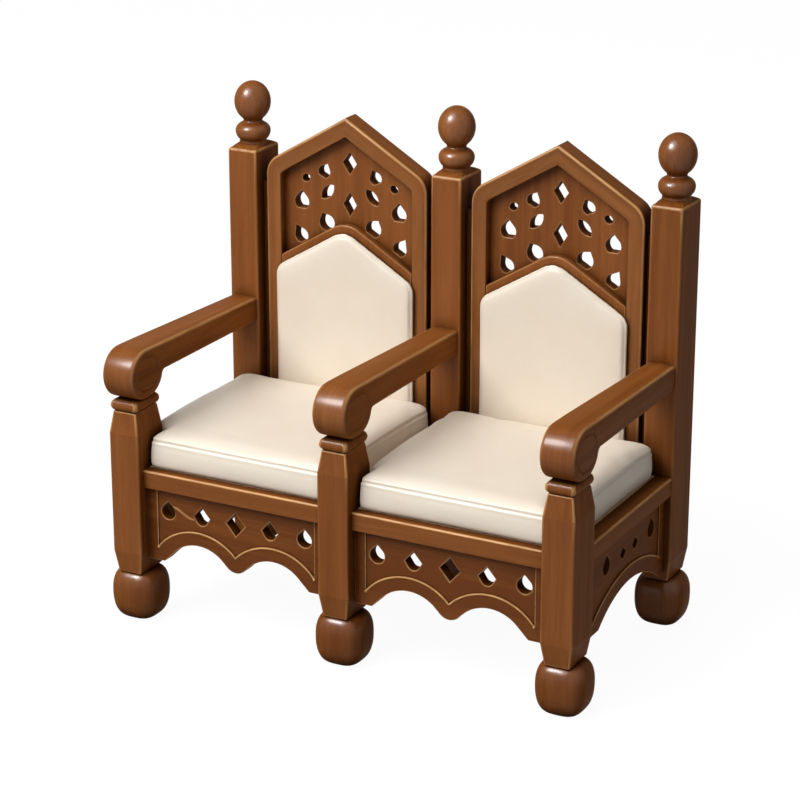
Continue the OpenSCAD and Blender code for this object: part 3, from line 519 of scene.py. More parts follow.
def makePolishedWood(name, s, stored):
    # stored wood reads each plank's place, tone, wear and polish from its mesh
    material, tree, shader = newMaterial(name)
    place = fromMesh(tree, "grainPlace", "Vector") if stored else objectPlace(tree)
    figure = noise(tree, place, s["figureScale"], 4.0, 0.55, 0.5)
    fibre = noise(tree, place, s["fibreScale"], 3.0, 0.6)
    clouds = noise(tree, place, s["cloudScale"], 2.0)
    pores = mask(tree, noise(tree, place, s["poreScale"], 1.0), s["poreStops"])
    parts = [(figure, s["figureShare"]), (fibre, s["fibreShare"]), (clouds, s["cloudShare"])]
    if stored:
        parts.append((fromMesh(tree, "toneAndShade"), s["toneReach"]))
    wood = ramp(tree, weighted(tree, *parts), s["toneStops"], [s["dark"], s["middle"], s["light"]])
    wood = mixColours(tree, calc(tree, "MULTIPLY", pores, s["poreShade"]), wood, s["dark"])
    if stored:
        # a paler gold along the eased edges, unevenly: partly worn lacquer and partly painted highlight where
        # the edges catch the light
        patch = mask(tree, noise(tree, place, s["patchScale"], 3.0), s["patchStops"], s["leastPatch"])
        wornAndLit = calc(tree, "MULTIPLY", calc(tree, "MULTIPLY", fromMesh(tree, "wearAndHighlight"), patch), s["paleGoldAndHighlightShare"])
        wood = mixColours(tree, wornAndLit, wood, s["paleGoldAndHighlight"])
    # painted shade: the colour is darkened where nearby parts hem the surface in, in corners, crevices and
    # under overhangs
    corner = addNode(tree, "ShaderNodeAmbientOcclusion", {"Distance": s["cornerReach"]}, samples=8)
    shade = mapRange(tree, corner.outputs["AO"], (s["cornerShade"], 1.0), s["cornerOpen"])
    paintedShadeWood = addNode(tree, "ShaderNodeVectorMath", {0: wood, "Scale": shade}, operation="SCALE")
    rough = calc(tree, "MULTIPLY_ADD", pores, s["poreRoughness"], fibre)
    # the satin lacquer is glossiest where it is seen square on, and its gloss is cut by the same painted
    # corner shade
    facing = addNode(tree, "ShaderNodeLayerWeight", {"Blend": 0.5}).outputs["Facing"]
    gloss, coat = [calc(tree, "MULTIPLY", mapRange(tree, facing, reach, s["glossAngles"]), shade)
                   for reach in (s["gloss"], s["coat"])]
    if stored:
        polish = calc(tree, "MULTIPLY_ADD", fromMesh(tree, "polish"), s["extraPolish"], 1.0)
        coat = calc(tree, "MULTIPLY", coat, polish)
    height = weighted(tree, (fibre, s["fibreHeight"]), (pores, -1.0), (figure, s["figureHeight"]))
    feed(tree, shader, {
        "Base Color": paintedShadeWood.outputs[0],
        "Roughness": mapRange(tree, rough, s["roughness"]),
        "Specular IOR Level": gloss,
        "Coat Weight": coat,
        "Coat Roughness": s["coatRoughness"],
        "Normal": bump(tree, height, *s["bump"]).outputs[0],
    })
    return material


leatherSettings = {
    "pale": (0.855, 0.768, 0.647),
    "mottled": (0.83, 0.73, 0.60),
    "deep": (0.60, 0.49, 0.36),
    "mottleScale": (9, 9, 9),
    "mottleStops": (0.25, 0.75),
    "cellScale": 520,
    "cellStops": (0.0, 0.9),
    "cellShade": 0.10,
    "seamShade": 0.30,
    "foldScale": (22, 22, 22),
    "roughness": (0.40, 0.56),
    "specular": 0.28,
    "sheen": 0.08,
    "coat": 0.12,
    "coatRoughness": 0.3,
    "grainBump": (0.25, 0.0005),
    "foldBump": (0.30, 0.0016),
}


def makeLeather(name, s):
    material, tree, shader = newMaterial(name)
    place = objectPlace(tree)
    mottle = noise(tree, place, s["mottleScale"], 4.0)
    grains = addNode(tree, "ShaderNodeTexVoronoi", {"Vector": place, "Scale": s["cellScale"]})
    cells = grains.outputs["Distance"]
    folds = noise(tree, place, s["foldScale"], 5.0, 0.62)
    colour = ramp(tree, mottle, s["mottleStops"], [s["mottled"], s["pale"]])
    crevice = calc(tree, "MULTIPLY", mask(tree, cells, s["cellStops"]), s["cellShade"])
    seam = calc(tree, "MULTIPLY", fromMesh(tree, "seam"), s["seamShade"])
    for share in (crevice, seam):
        colour = mixColours(tree, share, colour, s["deep"])
    grain = bump(tree, cells, *s["grainBump"], invert=True)
    surface = bump(tree, folds, *s["foldBump"])
    feed(tree, surface.inputs, {"Normal": grain.outputs[0]})
    feed(tree, shader, {
        "Base Color": colour,
        "Roughness": mapRange(tree, folds, s["roughness"]),
        "Specular IOR Level": s["specular"],
        "Sheen Weight": s["sheen"],
        "Coat Weight": s["coat"],
        "Coat Roughness": s["coatRoughness"],
        "Normal": surface.outputs[0],
    })
    return material


# bare wood and metal inside the chair
bareSettings = {
    "bareBeech": {
        "colours": [(0.44, 0.27, 0.14), (0.66, 0.46, 0.28)], "stops": (0.4, 0.9), "scale": (14, 90, 90),
        "detail": 4.0, "flecks": 0.3, "roughness": (0.55, 0.75), "metallic": 0.0, "bump": (0.3, 0.0005),
    },
    "sandedPlywood": {
        "colours": [(0.50, 0.33, 0.18), (0.70, 0.51, 0.32)], "stops": (0.4, 0.9), "scale": (60, 6, 700),
        "detail": 4.0, "flecks": 0.3, "roughness": (0.6, 0.8), "metallic": 0.0, "bump": (0.3, 0.0005),
    },
    "zincSteel": {
        "colours": [(0.42, 0.42, 0.43), (0.62, 0.62, 0.64)], "stops": (0.3, 0.7), "scale": (900, 900, 60),
        "detail": 3.0, "flecks": 0.0, "roughness": (0.25, 0.5), "metallic": 1.0, "bump": (0.2, 0.0002),
    },
}


def makeBare(name, s):
    # straight streaks, with flecks over them that are six times as fine
    material, tree, shader = newMaterial(name)
    place = objectPlace(tree)
    streaks = noise(tree, place, s["scale"], s["detail"])
    flecks = noise(tree, place, tuple(6 * v for v in s["scale"]), 1.0)
    mixed = calc(tree, "MULTIPLY_ADD", flecks, s["flecks"], streaks)
    feed(tree, shader, {
        "Base Color": ramp(tree, mixed, s["stops"], s["colours"]),
        "Roughness": mapRange(tree, streaks, s["roughness"]),
        "Metallic": s["metallic"],
        "Normal": bump(tree, mixed, *s["bump"]).outputs[0],
    })
    return material


polishedWood = makePolishedWood("polishedWood", woodSettings, stored=True)
hiddenWood = makePolishedWood("hiddenPolishedWood", woodSettings, stored=False)
creamLeather = makeLeather("creamLeather", leatherSettings)
beech, plywood, zincSteel = [makeBare(name, s) for name, s in bareSettings.items()]
print("materials made")


# feet

footSettings = {
    "halfWidth": 0.0652,
    "bottom": 0.004,
    "middle": 0.078,
    "bottomInset": 0.040,
    "topInset": 0.029,
    "bottomPower": 2.45,
    "topPower": 2.3,
    "planPower": 3.1,
    "sides": 72,
    # painted shade: the feet are toned darker, as low parts lying in shade, and the rear ones less, to make
    # up for the chair's own shadow on them
    "frontShadeTone": -1.9,
    "rearShadeTone": -1.0,
    "shoulder": 0.122,
    "shoulderReach": 0.018,
}


def footRings(s, end, inset, power, angles):
    # from an end face to the widest line, or back
    rings = []
    for a in angles:
        c, d = cosSin(a)
        z = s["middle"] + (end - s["middle"]) * c ** (2 / power)
        half = s["halfWidth"] - inset * (1 - d ** (2 / power))
        rings.append(powerRing(half, s["planPower"], z, s["sides"]))
    return rings


def buildFoot(name, x, y, toneAndShade, s):
    bm = bmesh.new()
    rings = footRings(s, s["bottom"], s["bottomInset"], s["bottomPower"], range(0, 91, 6))
    rings += footRings(s, footTop, s["topInset"], s["topPower"], range(84, -1, -6))
    skin(bm, rings)
    bmesh.ops.translate(bm, verts=bm.verts, vec=(x, y, 0))
    addPiece(name, bm, (0, 0, 1), 70, wearAndHighlight=0, toneAndShade=toneAndShade,
             polish=lambda co: math.exp(-((co.z - s["shoulder"]) / s["shoulderReach"]) ** 2))


for column, x in columnPlaces.items():
    buildFoot("front_foot_" + column, x, frontRow, footSettings["frontShadeTone"], footSettings)
    buildFoot("rear_foot_" + column, x, rearRow, footSettings["rearShadeTone"], footSettings)
print("feet built")


# posts

postSettings = {
    "halfWidth": 0.0425,
    "frontHalfDepth": 0.059,
    "rearHalfDepth": 0.060,
    "bevel": 0.006,
    "taperWidth": 0.009,
    "taperDepth": 0.008,
    "taperHeight": 0.058,
    "taperBevel": 0.35,
    "endEase": 0.003,
    "crease": 0.0012,
    "ringGap": 0.05,
    "collarHeight": 0.031,
    "collarHalfWidth": 0.0395,
    "collarHalfDepth": 0.057,
    "collarCorner": 0.009,
    "collarBulge": 0.014,
    "capRise": 0.008,
    "capEdge": 0.008,
    "roofHalf": 0.0287,
    "roofBevel": 0.012,
    "roofSteps": (0.35, 0.7, 1.0),
    "wearAndHighlightReach": 0.075,
    "wearAndHighlight": 0.8,
    "lowWearAndHighlight": 0.6,
    "frontRest": 0.16,
    "rearRest": 0.24,
}


def shaftRing(s, halfD, z, narrow, inset=0.0):
    # narrow is 0 in the full section and 1 at a tapered end
    w = s["halfWidth"] - s["taperWidth"] * narrow - inset
    d = halfD - s["taperDepth"] * narrow - inset
    return cornerRing(w, d, s["bevel"] * (1 - s["taperBevel"] * narrow), z, 3)


def taperedEnd(s, halfD, end, up):
    # rings from the end face to just past the break line, with up as 1 or -1
    ease, rings = s["endEase"], []
    for a in (0, 30, 60, 90):
        c, d = cosSin(a)
        rings.append(shaftRing(s, halfD, end + up * ease * (1 - c), 1.0, ease * (1 - d)))
    line = end + up * s["taperHeight"]
    rings.append(shaftRing(s, halfD, line - up * s["crease"], s["crease"] / s["taperHeight"]))
    rings.append(shaftRing(s, halfD, line + up * s["crease"], 0.0))
    return rings


def evenRings(s, halfD, low, high):
    count = max(2, math.ceil((high - low) / s["ringGap"]))
    return [shaftRing(s, halfD, low + (high - low) * i / count, 0.0) for i in range(1, count)]


def endFade(s, low, high, rest):
    # wear and painted highlight are strongest near the ends of a post, the upper end most
    ends = ((high, 1.0), (low, s["lowWearAndHighlight"]))

    def fade(co):
        near = max(math.exp(-((co.z - end) / s["wearAndHighlightReach"]) ** 2) * weight for end, weight in ends)
        return rest + (1 - rest) * near
    return fade


def buildFrontPost(name, x, s):
    bm = bmesh.new()
    halfD = s["frontHalfDepth"]
    low, high = footTop, frontPostTop - s["collarHeight"]
    rings = taperedEnd(s, halfD, low, 1)
    rings += evenRings(s, halfD, low + s["taperHeight"], high - s["taperHeight"])
    rings += reversed(taperedEnd(s, halfD, high, -1))
    skin(bm, rings)
    collar = []
    for a in range(-84, 85, 12):
        c, d = cosSin(a)
        inset = s["collarBulge"] * (1 - c)
        z = high + s["collarHeight"] / 2 + s["collarHeight"] / 2 * d
        w, depth = s["collarHalfWidth"] - inset, s["collarHalfDepth"] - inset
        collar.append(cornerRing(w, depth, s["collarCorner"], z, 6))
    skin(bm, collar)
    bmesh.ops.translate(bm, verts=bm.verts, vec=(x, frontRow, 0))
    addPiece(name, bm, (0, 0, 1), 32, s["wearAndHighlight"], endFade(s, low, high, s["frontRest"]))


def buildRearPost(name, x, s):
    bm = bmesh.new()
    low, high = footTop, rearPostTop
    halfD, edge = s["rearHalfDepth"], s["capEdge"]
    edgeLow = high - s["capRise"] - edge
    rings = taperedEnd(s, halfD, low, 1)
    rings += evenRings(s, halfD, low + s["taperHeight"], edgeLow)
    for a in range(0, 76, 15):
        c, d = cosSin(a)
        roofLow, roofInset = edgeLow + edge * d, edge * (1 - c)
        rings.append(shaftRing(s, halfD, roofLow, 0.0, roofInset))
    # the roof rises gently to the finial's base
    for t in s["roofSteps"]:
        z = roofLow + (high - roofLow) * math.sin(t * math.pi / 2)
        w = (s["halfWidth"] - roofInset) * (1 - t) + s["roofHalf"] * t
        d = (halfD - roofInset) * (1 - t) + s["roofHalf"] * t
        rings.append(cornerRing(w, d, s["bevel"] + s["roofBevel"] * t, z, 3))
    skin(bm, rings)
    bmesh.ops.translate(bm, verts=bm.verts, vec=(x, rearRow, 0))
    fade = endFade(s, low, high, s["rearRest"])
    addPiece(name, bm, (0, 0, 1), 32, s["wearAndHighlight"], lambda co: 0.0 if co.z > high - s["capRise"] else fade(co))


for column, x in columnPlaces.items():
    buildFrontPost("front_post_" + column, x, postSettings)
    buildRearPost("rear_post_" + column, x, postSettings)
print("posts built")


# finials, turned as one profile

finialSettings = {
    "height": 0.162,
    "baseRadius": 0.0362,
    "baseLow": -0.008,
    "lowNeck": 0.0354,
    "lowNeckHeight": 0.0035,
    "beadRadius": 0.0462,
    "beadMiddle": 0.0305,
    "beadDrop": 1.25,
    "beadReach": 1.018,
    "beadPower": 0.72,
    "beadGap": 0.001,
    "neck": 0.0245,
    "neckHeight": 0.0565,
    "neckSteps": ((0.0008, -0.0005), (0, 0.0012), (0.001, 0.003)),
    "ballRadius": 0.048,
    "ballLow": 0.0035,
    "ballSink": 0.006,
    "tipRadius": 0.0004,
    "sides": 72,
    "wearAndHighlight": 0.3,
    "polish": 0.9,
}


def finialProfile(s):
    points = [(s["baseRadius"], s["baseLow"]), (s["baseRadius"], 0.0), (s["lowNeck"], s["lowNeckHeight"])]
    # the bead swells out of the lower neck and closes in to the upper one
    beadHalf = s["neckHeight"] - s["beadMiddle"] - s["beadGap"]
    for a in range(-46, 66, 7):
        c, d = cosSin(a)
        reach = beadHalf * (s["beadDrop"] if a < 0 else 1.0)
        points.append((s["beadRadius"] * c ** s["beadPower"], s["beadMiddle"] + reach * s["beadReach"] * d))
    points += [(s["neck"] + r, s["neckHeight"] + z) for r, z in s["neckSteps"]]
    low = s["neckHeight"] + s["ballLow"] - s["ballSink"]
    for a in range(-56, 91, 6):
        c, d = cosSin(a)
        points.append((s["ballRadius"] * c, (low + s["height"]) / 2 + (s["height"] - low) / 2 * d))
    points[-1] = (s["tipRadius"], s["height"])
    return points


def buildFinial(name, x, s):
    bm = bmesh.new()
    skin(bm, [powerRing(r, 2, z, s["sides"]) for r, z in finialProfile(s)])
    bmesh.ops.translate(bm, verts=bm.verts, vec=(x, rearRow, rearPostTop))
    addPiece(name, bm, (0, 0, 1), 70, s["wearAndHighlight"], polish=lambda co: s["polish"])


for column, x in columnPlaces.items():
    buildFinial("finial_" + column, x, finialSettings)
print("finials built")


# arms

armSettings = {
    "rollRadius": 0.065,
    "rollFront": -0.3035,
    "rollBack": -0.2855,
    "rearTop": 0.717,
    "rearThickness": 0.068,
    "frontThickness": 0.077,
    "frontHalfWidth": 0.045,
    "rearHalfWidth": 0.037,
    "edge": 0.0105,
    "innerCorner": 0.012,
    "innerDrop": 0.002,
    "innerStart": 0.06,
    "ringRadius": 0.0435,
    "ringWidth": 0.0080,
    "ringDepth": 0.0027,
    "ringShape": ((0.5, 0), (0.25, 0.75), (0, 1.0), (-0.25, 0.75), (-0.5, 0)),
    "discRise": 0.0006,
    "polishEnd": -0.22,
    "polishReach": 0.05,
    "polish": 0.3,
    "wearAndHighlightAngle": 45,
    "wearAndHighlightSpread": 20,
    "wearAndHighlight": 0.72,
    "sideWearAndHighlight": 0.4,
    "leastWearAndHighlight": 0.1,
    "sideFacing": 0.75,
}


def armOutline(s):
    # the side view, clockwise from the rear top: y and z
    middle = frontPostTop + s["rollRadius"]
    top = middle + s["rollRadius"]
    rearTop, rollTop = (rearPostFace, s["rearTop"]), (s["rollBack"], top)
    points = [rearTop]
    points += [onLine(rearTop, rollTop, i / 12) for i in range(1, 12)]
    points.append(rollTop)
    points += arc((s["rollFront"], middle), s["rollRadius"], 90, 270, 44)
    underFront = top - s["frontThickness"]
    slope = (s["rearTop"] - s["rearThickness"] - underFront) / (rearPostFace - s["rollBack"])
    # where the under side of the arm runs into the back of the roll
    meet = s["rollBack"] + math.sqrt(s["rollRadius"] ** 2 - (underFront + s["innerDrop"] - middle) ** 2)
    rise = underFront + slope * (meet - s["rollBack"]) - middle
    end = math.degrees(math.atan2(rise, meet - s["rollBack"]))
    back = arc((s["rollBack"], middle), s["rollRadius"], -90, end, 22)
    corner, ahead = back[-1], (rearPostFace, s["rearTop"] - s["rearThickness"])
    points += back[:-4]
    points += roundCorner(back[-5], corner, ahead, s["innerCorner"], 6)
    start = s["innerStart"]
    points += [onLine(corner, ahead, start + (1 - start) * (i / 12)) for i in range(1, 12)]
    points.append(ahead)
    return withoutTwins(points, 1e-4)


def insetPoint(points, i, distance):
    # moved in along the mitre, which stretches the distance only a little at a sharp corner
    before, here, after = Vector(points[i - 1]), Vector(points[i]), Vector(points[(i + 1) % len(points)])
    a, b = (here - before).normalized(), (after - here).normalized()
    normal = Vector((-(a + b).y, (a + b).x)).normalized()
    stretch = 1 / max(normal.dot(Vector((-b.y, b.x))), 0.5)
    return here + normal * distance * min(stretch, 1.5)


def buildArm(name, x, s):
    outline = armOutline(s)
    runs = runLengths(outline)
    middle = frontPostTop + s["rollRadius"]
    bm = bmesh.new()
    pathLayer = bm.verts.layers.float.new("path")
    shareLayer = bm.verts.layers.float.new("share")

    def halfWidth(y):
        t = clamped((y - frontPostBack) / (rearPostFace - frontPostBack))
        return s["frontHalfWidth"] + (s["rearHalfWidth"] - s["frontHalfWidth"]) * t

    def edgeRow(side, angle):
        # the outline once round, moved in as the arm's edge is rounded
        c, d = cosSin(angle)
        inset = s["edge"] * (1 - d)
        row = []
        for i, point in enumerate(outline):
            p = insetPoint(outline, i, inset)
            # the rear end stays flat against the post
            if i in (0, len(outline) - 1):
                p = Vector((point[0], point[1] + (inset if i else -inset)))
            v = bm.verts.new((side * (halfWidth(p.x) - s["edge"] * (1 - c)), p.x, p.y))
            v[pathLayer] = runs[i]
            # the upward-facing edges get the most wear and painted highlight, as they face the light
            outward = (Vector(point) - insetPoint(outline, i, 1.0)).normalized()
            upper = clamped(s["sideWearAndHighlight"] + (1 - s["sideWearAndHighlight"]) * outward.y, s["leastWearAndHighlight"])
            v[shareLayer] = s["wearAndHighlight"] * upper * math.exp(-((angle - s["wearAndHighlightAngle"]) / s["wearAndHighlightSpread"]) ** 2)
            row.append(v)
        return row

    def rollLoop(width, radius):
        loop = arc((s["rollFront"], middle), radius, 90, 270, 28)
        loop += arc((s["rollBack"], middle), radius, -90, 90, 28)
        return [bm.verts.new((width, y, z)) for y, z in loop]

    angles = range(0, 91, 18)
    rows = [edgeRow(-1, a) for a in angles] + [edgeRow(1, a) for a in reversed(angles)]
    for first, second in zip(rows, rows[1:]):
        bridge(bm, first, second, closed=False)
    # the rear end
    bm.faces.new([row[0] for row in rows] + [row[-1] for row in reversed(rows)])
    for side, row in ((-1, rows[0]), (1, rows[-1])):
        # a groove runs round each side of the roll, and the disc inside it swells a little
        rings = []
        for share, depth in s["ringShape"]:
            width = side * (s["frontHalfWidth"] - s["ringDepth"] * depth)
            rings.append(rollLoop(width, s["ringRadius"] + s["ringWidth"] * share))
        rings.append(rollLoop(side * (s["frontHalfWidth"] + s["discRise"]), s["ringRadius"] / 2))
        for first, second in zip(rings, rings[1:]):
            bridge(bm, first, second, flipped=side > 0)
        bm.faces.new(rings[-1] if side < 0 else rings[-1][::-1])
        edges = []
        for loop in (row, rings[0]):
            for v, near in zip(loop, loop[1:] + loop[:1]):
                edges.append(bm.edges.get((v, near)) or bm.edges.new((v, near)))
        bmesh.ops.triangle_fill(bm, use_beauty=True, edges=edges)
    bmesh.ops.recalc_face_normals(bm, faces=bm.faces)
    bmesh.ops.translate(bm, verts=bm.verts, vec=(x, 0, 0))
    wearAndHighlightFromShare(bm, shareLayer)
    mesh = woodMesh(bm, name, 34)
    # the grain runs along the outline on top, and straight along the arm on its sides
    corner, path = cornerVertices(mesh), takeValues(mesh, "path")
    chosen = np.zeros(len(corner), dtype=bool)
    for polygon in mesh.polygons:
        if abs(polygon.normal.x) < s["sideFacing"] and abs(polygon.normal.y - 1) > 0.1:
            chosen[polygon.loop_start:polygon.loop_start + polygon.loop_total] = True
    places = np.stack([vertexRows(mesh)[:, 0], np.zeros(len(path)), path], axis=1)[corner]
    grainAlong(mesh, (0, 1, 0), curved=(chosen, places))
    polish = [s["polish"] * clamped((s["polishEnd"] - v.co.y) / s["polishReach"]) for v in mesh.vertices]
    storeValues(mesh, "polish", polish)
    placePiece(name, mesh, [name])


for column, x in columnPlaces.items():
    buildArm("armrest_" + column, x, armSettings)
print("arms built")


# rails

railSettings = {
    "frontFace": -0.328,
    "frontBack": -0.298,
    "sideOuter": 0.638,
    "sideInner": 0.593,
    "near": 0.0425,
    "far": 0.5575,
    "edge": 0.0048,
    "smallEdge": 0.002,
    "reach": 0.003,
    "wearAndHighlight": 0.85,
    "lowWearAndHighlight": 0.1,
    "wearAndHighlightGap": 0.001,
}


def railSection(width, s):
    # seen end on, with the eased upper edge at the face, where the first coordinate is 0
    corners = [(0, seatTop), (0, railLow), (width, railLow), (width, seatTop)]
    points = []
    for i in (1, 2, 3):
        points += roundCorner(corners[i - 1], corners[i], corners[(i + 1) % 4], s["smallEdge"], 3)
    return points + roundCorner(corners[3], corners[0], corners[1], s["edge"], 6)


def buildRail(name, width, start, end, place, grain, s):
    bm = bmesh.new()
    section = railSection(width, s)
    skin(bm, [[Vector(place(u, v, w)) for u, v in section] for w in (start, end)])
    # the upper edges get the wear and painted highlight, and the lower edges, in shade, little of it
    wornAndLit = seatTop - s["edge"] - s["wearAndHighlightGap"]
    addPiece(name, bm, grain, 32, fade=lambda co: s["wearAndHighlight"] if co.z > wornAndLit else s["lowWearAndHighlight"])


for seat, sign in (("left", -1), ("right", 1)):
    s = railSettings
    buildRail("front_rail_" + seat, s["frontBack"] - s["frontFace"], sign * (s["near"] - s["reach"]),
              sign * (s["far"] + s["reach"]), lambda u, v, w: (w, s["frontFace"] + u, v), (1, 0, 0), s)
    buildRail("side_rail_" + seat, s["sideOuter"] - s["sideInner"], frontPostBack - s["reach"],
              rearPostFace + s["reach"], lambda u, v, w: (sign * (s["sideOuter"] - u), w, v), (0, 1, 0), s)
print("rails built")


# aprons: a pierced board behind a raised band, with a round moulding along the band

apronSettings = {
    "clearHalf": 0.2575,
    "face": -0.3125,
    "thickness": 0.036,
    "fieldDepth": 0.0035,
    "lap": 0.004,
    "holeEdge": 0.0024,
    "frontLow": 0.175,
    "archTop": 0.235,
    "archRadius": 0.102,
    "archPlace": 0.109,
    "archCorner": 0.006,
    "tipDrop": 0.052,
    "frontBand": 0.035,
    "frontFlatness": 1.1,
    "frontBorder": 0.030,
    "frontSet": 0.0010,
    "holeRow": 0.313,
    "holePitch": 0.099,
    "diamond": (0.054, 0.062),
    "spadeShare": 0.85,
    "dropShare": (0.37, 0.46),
    "dropFall": 0.04,
    "sideRun": 0.476,
    "sideFace": 0.622,
    "sideLow": 0.159,
    "sideTop": 0.222,
    "sideRadius": 0.300,
    "sideShift": 0.028,
    "sideBand": 0.039,
    "sideFlatness": 1.12,
    "sideBorder": 0.032,
    "sideSet": 0.0012,
    "sideHoleRow": 0.307,
    "sidePitch": 0.074,
    "sideEndPitch": 0.099,
    "smallHole": (0.034, 0.029),
    "endHole": (0.021, 0.030),
    "edge": 0.0016,
    "moulding": 0.0027,
    "ball": 0.0046,
    "tuck": 0.004,
    "wearAndHighlightDepth": 0.0003,
    "frontWearAndHighlight": 0.55,
    # painted shade: the aprons are toned darker as they lie in the rails' shade, the front ones most
    "frontShadeTone": -3.0,
    "sideShadeTone": -0.9,
    "sideWearAndHighlight": 0.3,
}

tailSettings = {
    "start": 0.30,
    "end": 0.40,
    "rise": 0.014,
    "fall": 0.35,
    "radius": 0.0014,
    "upright": 1.6,
    "steps": 18,
}


def dropLoop(radius, reach):
    lean = math.degrees(math.asin(radius / reach))
    return [(0, reach)] + arc((0, 0), radius, 180 - lean, 360 + lean, 24)


def diamondLoop(w, h):
    return [(0, h / 2), (-w / 2, 0), (0, -h / 2), (w / 2, 0)]


def spadeLoop(w, h, ball=0.36, low=0.1):
    # a diamond whose lower half is a round drop, with its radius and depth as shares of w and h
    return [(0, h / 2), (-w / 2, 0)] + arc((0, -h * low), w * ball, 208, 332, 16) + [(w / 2, 0)]


def moved(loop, u, v, lean=0.0, flip=False):
    c, d = cosSin(lean)
    turned = [(c * a - d * b, d * a + c * b) for a, b in loop]
    if flip:
        turned = [(-a, b) for a, b in reversed(turned)]
    return [(a + u, b + v) for a, b in turned]


def bothHalves(right):
    return withoutTwins([(-u, v) for u, v in reversed(right)] + right)


def frontArchEdge(s):
    # the lower edge from left to right
    step = s["archRadius"] * math.sin(math.radians(45))
    archZ = s["archTop"] - s["archRadius"]
    tipTop = s["archTop"] - s["tipDrop"]
    tipRadius = (tipTop - (archZ + 2 * step - s["archPlace"])) / (math.sqrt(2) - 1)
    endX = s["archPlace"] + step + archZ + step - s["frontLow"]
    right = arc((0, tipTop + tipRadius), tipRadius, 270, 315, 10)
    right += arc((s["archPlace"], archZ), s["archRadius"], 135, 45, 40)
    end = (s["clearHalf"], s["frontLow"])
    right += roundCorner(right[-1], (endX, s["frontLow"]), end, s["archCorner"], 4)
    return bothHalves(right + [end])


def frontBandEdge(s):
    # the band's upper edge from left to right
    r = (s["archRadius"] + s["frontBand"]) * s["frontFlatness"]
    half = s["clearHalf"] - s["frontBorder"]
    first = math.degrees(math.acos(-s["archPlace"] / r))
    last = math.degrees(math.acos((half - s["archPlace"]) / r))
    return bothHalves(arc((s["archPlace"], s["archTop"] + s["frontBand"] - r), r, first, last, 44))


def sideEdges(s):
    half = s["sideRun"] / 2
    z = s["sideTop"] - s["sideRadius"]
    reach = math.degrees(math.acos((s["sideLow"] - z) / s["sideRadius"]))
    arch = arc((s["sideShift"], z), s["sideRadius"], 90 + reach, 90 - reach, 60)
    low = [(-half, s["sideLow"])] + arch + [(half, s["sideLow"])]
    r = (s["sideRadius"] + s["sideBand"]) * s["sideFlatness"]
    bandHalf = half - s["sideBorder"]
    first, last = [math.degrees(math.acos((u - s["sideShift"]) / r)) for u in (-bandHalf, bandHalf)]
    return withoutTwins(low), arc((s["sideShift"], s["sideTop"] + s["sideBand"] - r), r, first, last, 60)


def apronMesh(low, band, holes, half, border, at, s):
    # at gives the place of a board that lies some way behind the apron's face
    bm = bmesh.new()
    sunk, top, inner = s["fieldDepth"], railLow + s["tuck"], half - border
    thick = s["thickness"] - sunk
    addBoard(bm, [low + [(half, top), (-half, top)]] + holes, thick, s["holeEdge"], at(sunk, thick))
    rim = low + [(half, top), (inner, top)] + band[::-1] + [(-inner, top), (-half, top)]
    thick = sunk + s["lap"]
    addBoard(bm, [rim], thick, s["edge"], at(0, thick))
    return bm


def bandWearAndHighlight(axis, face, rest, s):
    # the moulding stands out from the face and gets the most wear and painted highlight
    return lambda co: 1.0 if abs(co[axis]) > abs(face) - s["wearAndHighlightDepth"] else rest


def carveTail(bm, x, s, tail):
    # a carved tail that curls from the first hole to the next one, thickest in its middle
    start = -2 * s["holePitch"] + s["diamond"][0] * tail["start"]
    end = -s["holePitch"] - s["diamond"][0] * tail["end"]
    rings = []
    for i in range(tail["steps"] + 1):
        k = i / tail["steps"]
        z = s["holeRow"] + tail["rise"] * math.cos(math.pi * k) * (1 - tail["fall"] * k)
        p = Vector((x + start + (end - start) * k, s["face"] + s["fieldDepth"], z))
        r = tail["radius"] + tail["radius"] * math.sin(math.pi * k)
        turns = [cosSin(45 * n) for n in range(8)]
        rings.append([p + Vector((0, r * c, tail["upright"] * r * d)) for c, d in turns])
    skin(bm, rings)


def buildFrontApron(seat, x, s):
    w, h = s["diamond"]
    spade = spadeLoop(w * s["spadeShare"], h * s["spadeShare"])
    drop = dropLoop(w * s["dropShare"][0], h * s["dropShare"][1])
    holes = [moved(diamondLoop(w, h), 0, s["holeRow"])]
    for side in (-1, 1):
        holes.append(moved(spade, side * s["holePitch"], s["holeRow"]))
        holes.append(moved(drop, 2 * side * s["holePitch"], s["holeRow"] - h * s["dropFall"]))
    band = frontBandEdge(s)
    bm = apronMesh(frontArchEdge(s), band, holes, s["clearHalf"], s["frontBorder"],
                   lambda behind, thick: acrossAt(x, s["face"] + behind, thick), s)
    path = [Vector((x + u, s["face"] + s["frontSet"], v)) for u, v in band]
    roundTube(bm, path, s["moulding"], s["ball"])
    if seat == "left":
        carveTail(bm, x, s, tailSettings)
    addPiece("front_apron_" + seat, bm, (1, 0, 0), 34, toneAndShade=s["frontShadeTone"],
             fade=bandWearAndHighlight(1, s["face"], s["frontWearAndHighlight"], s))


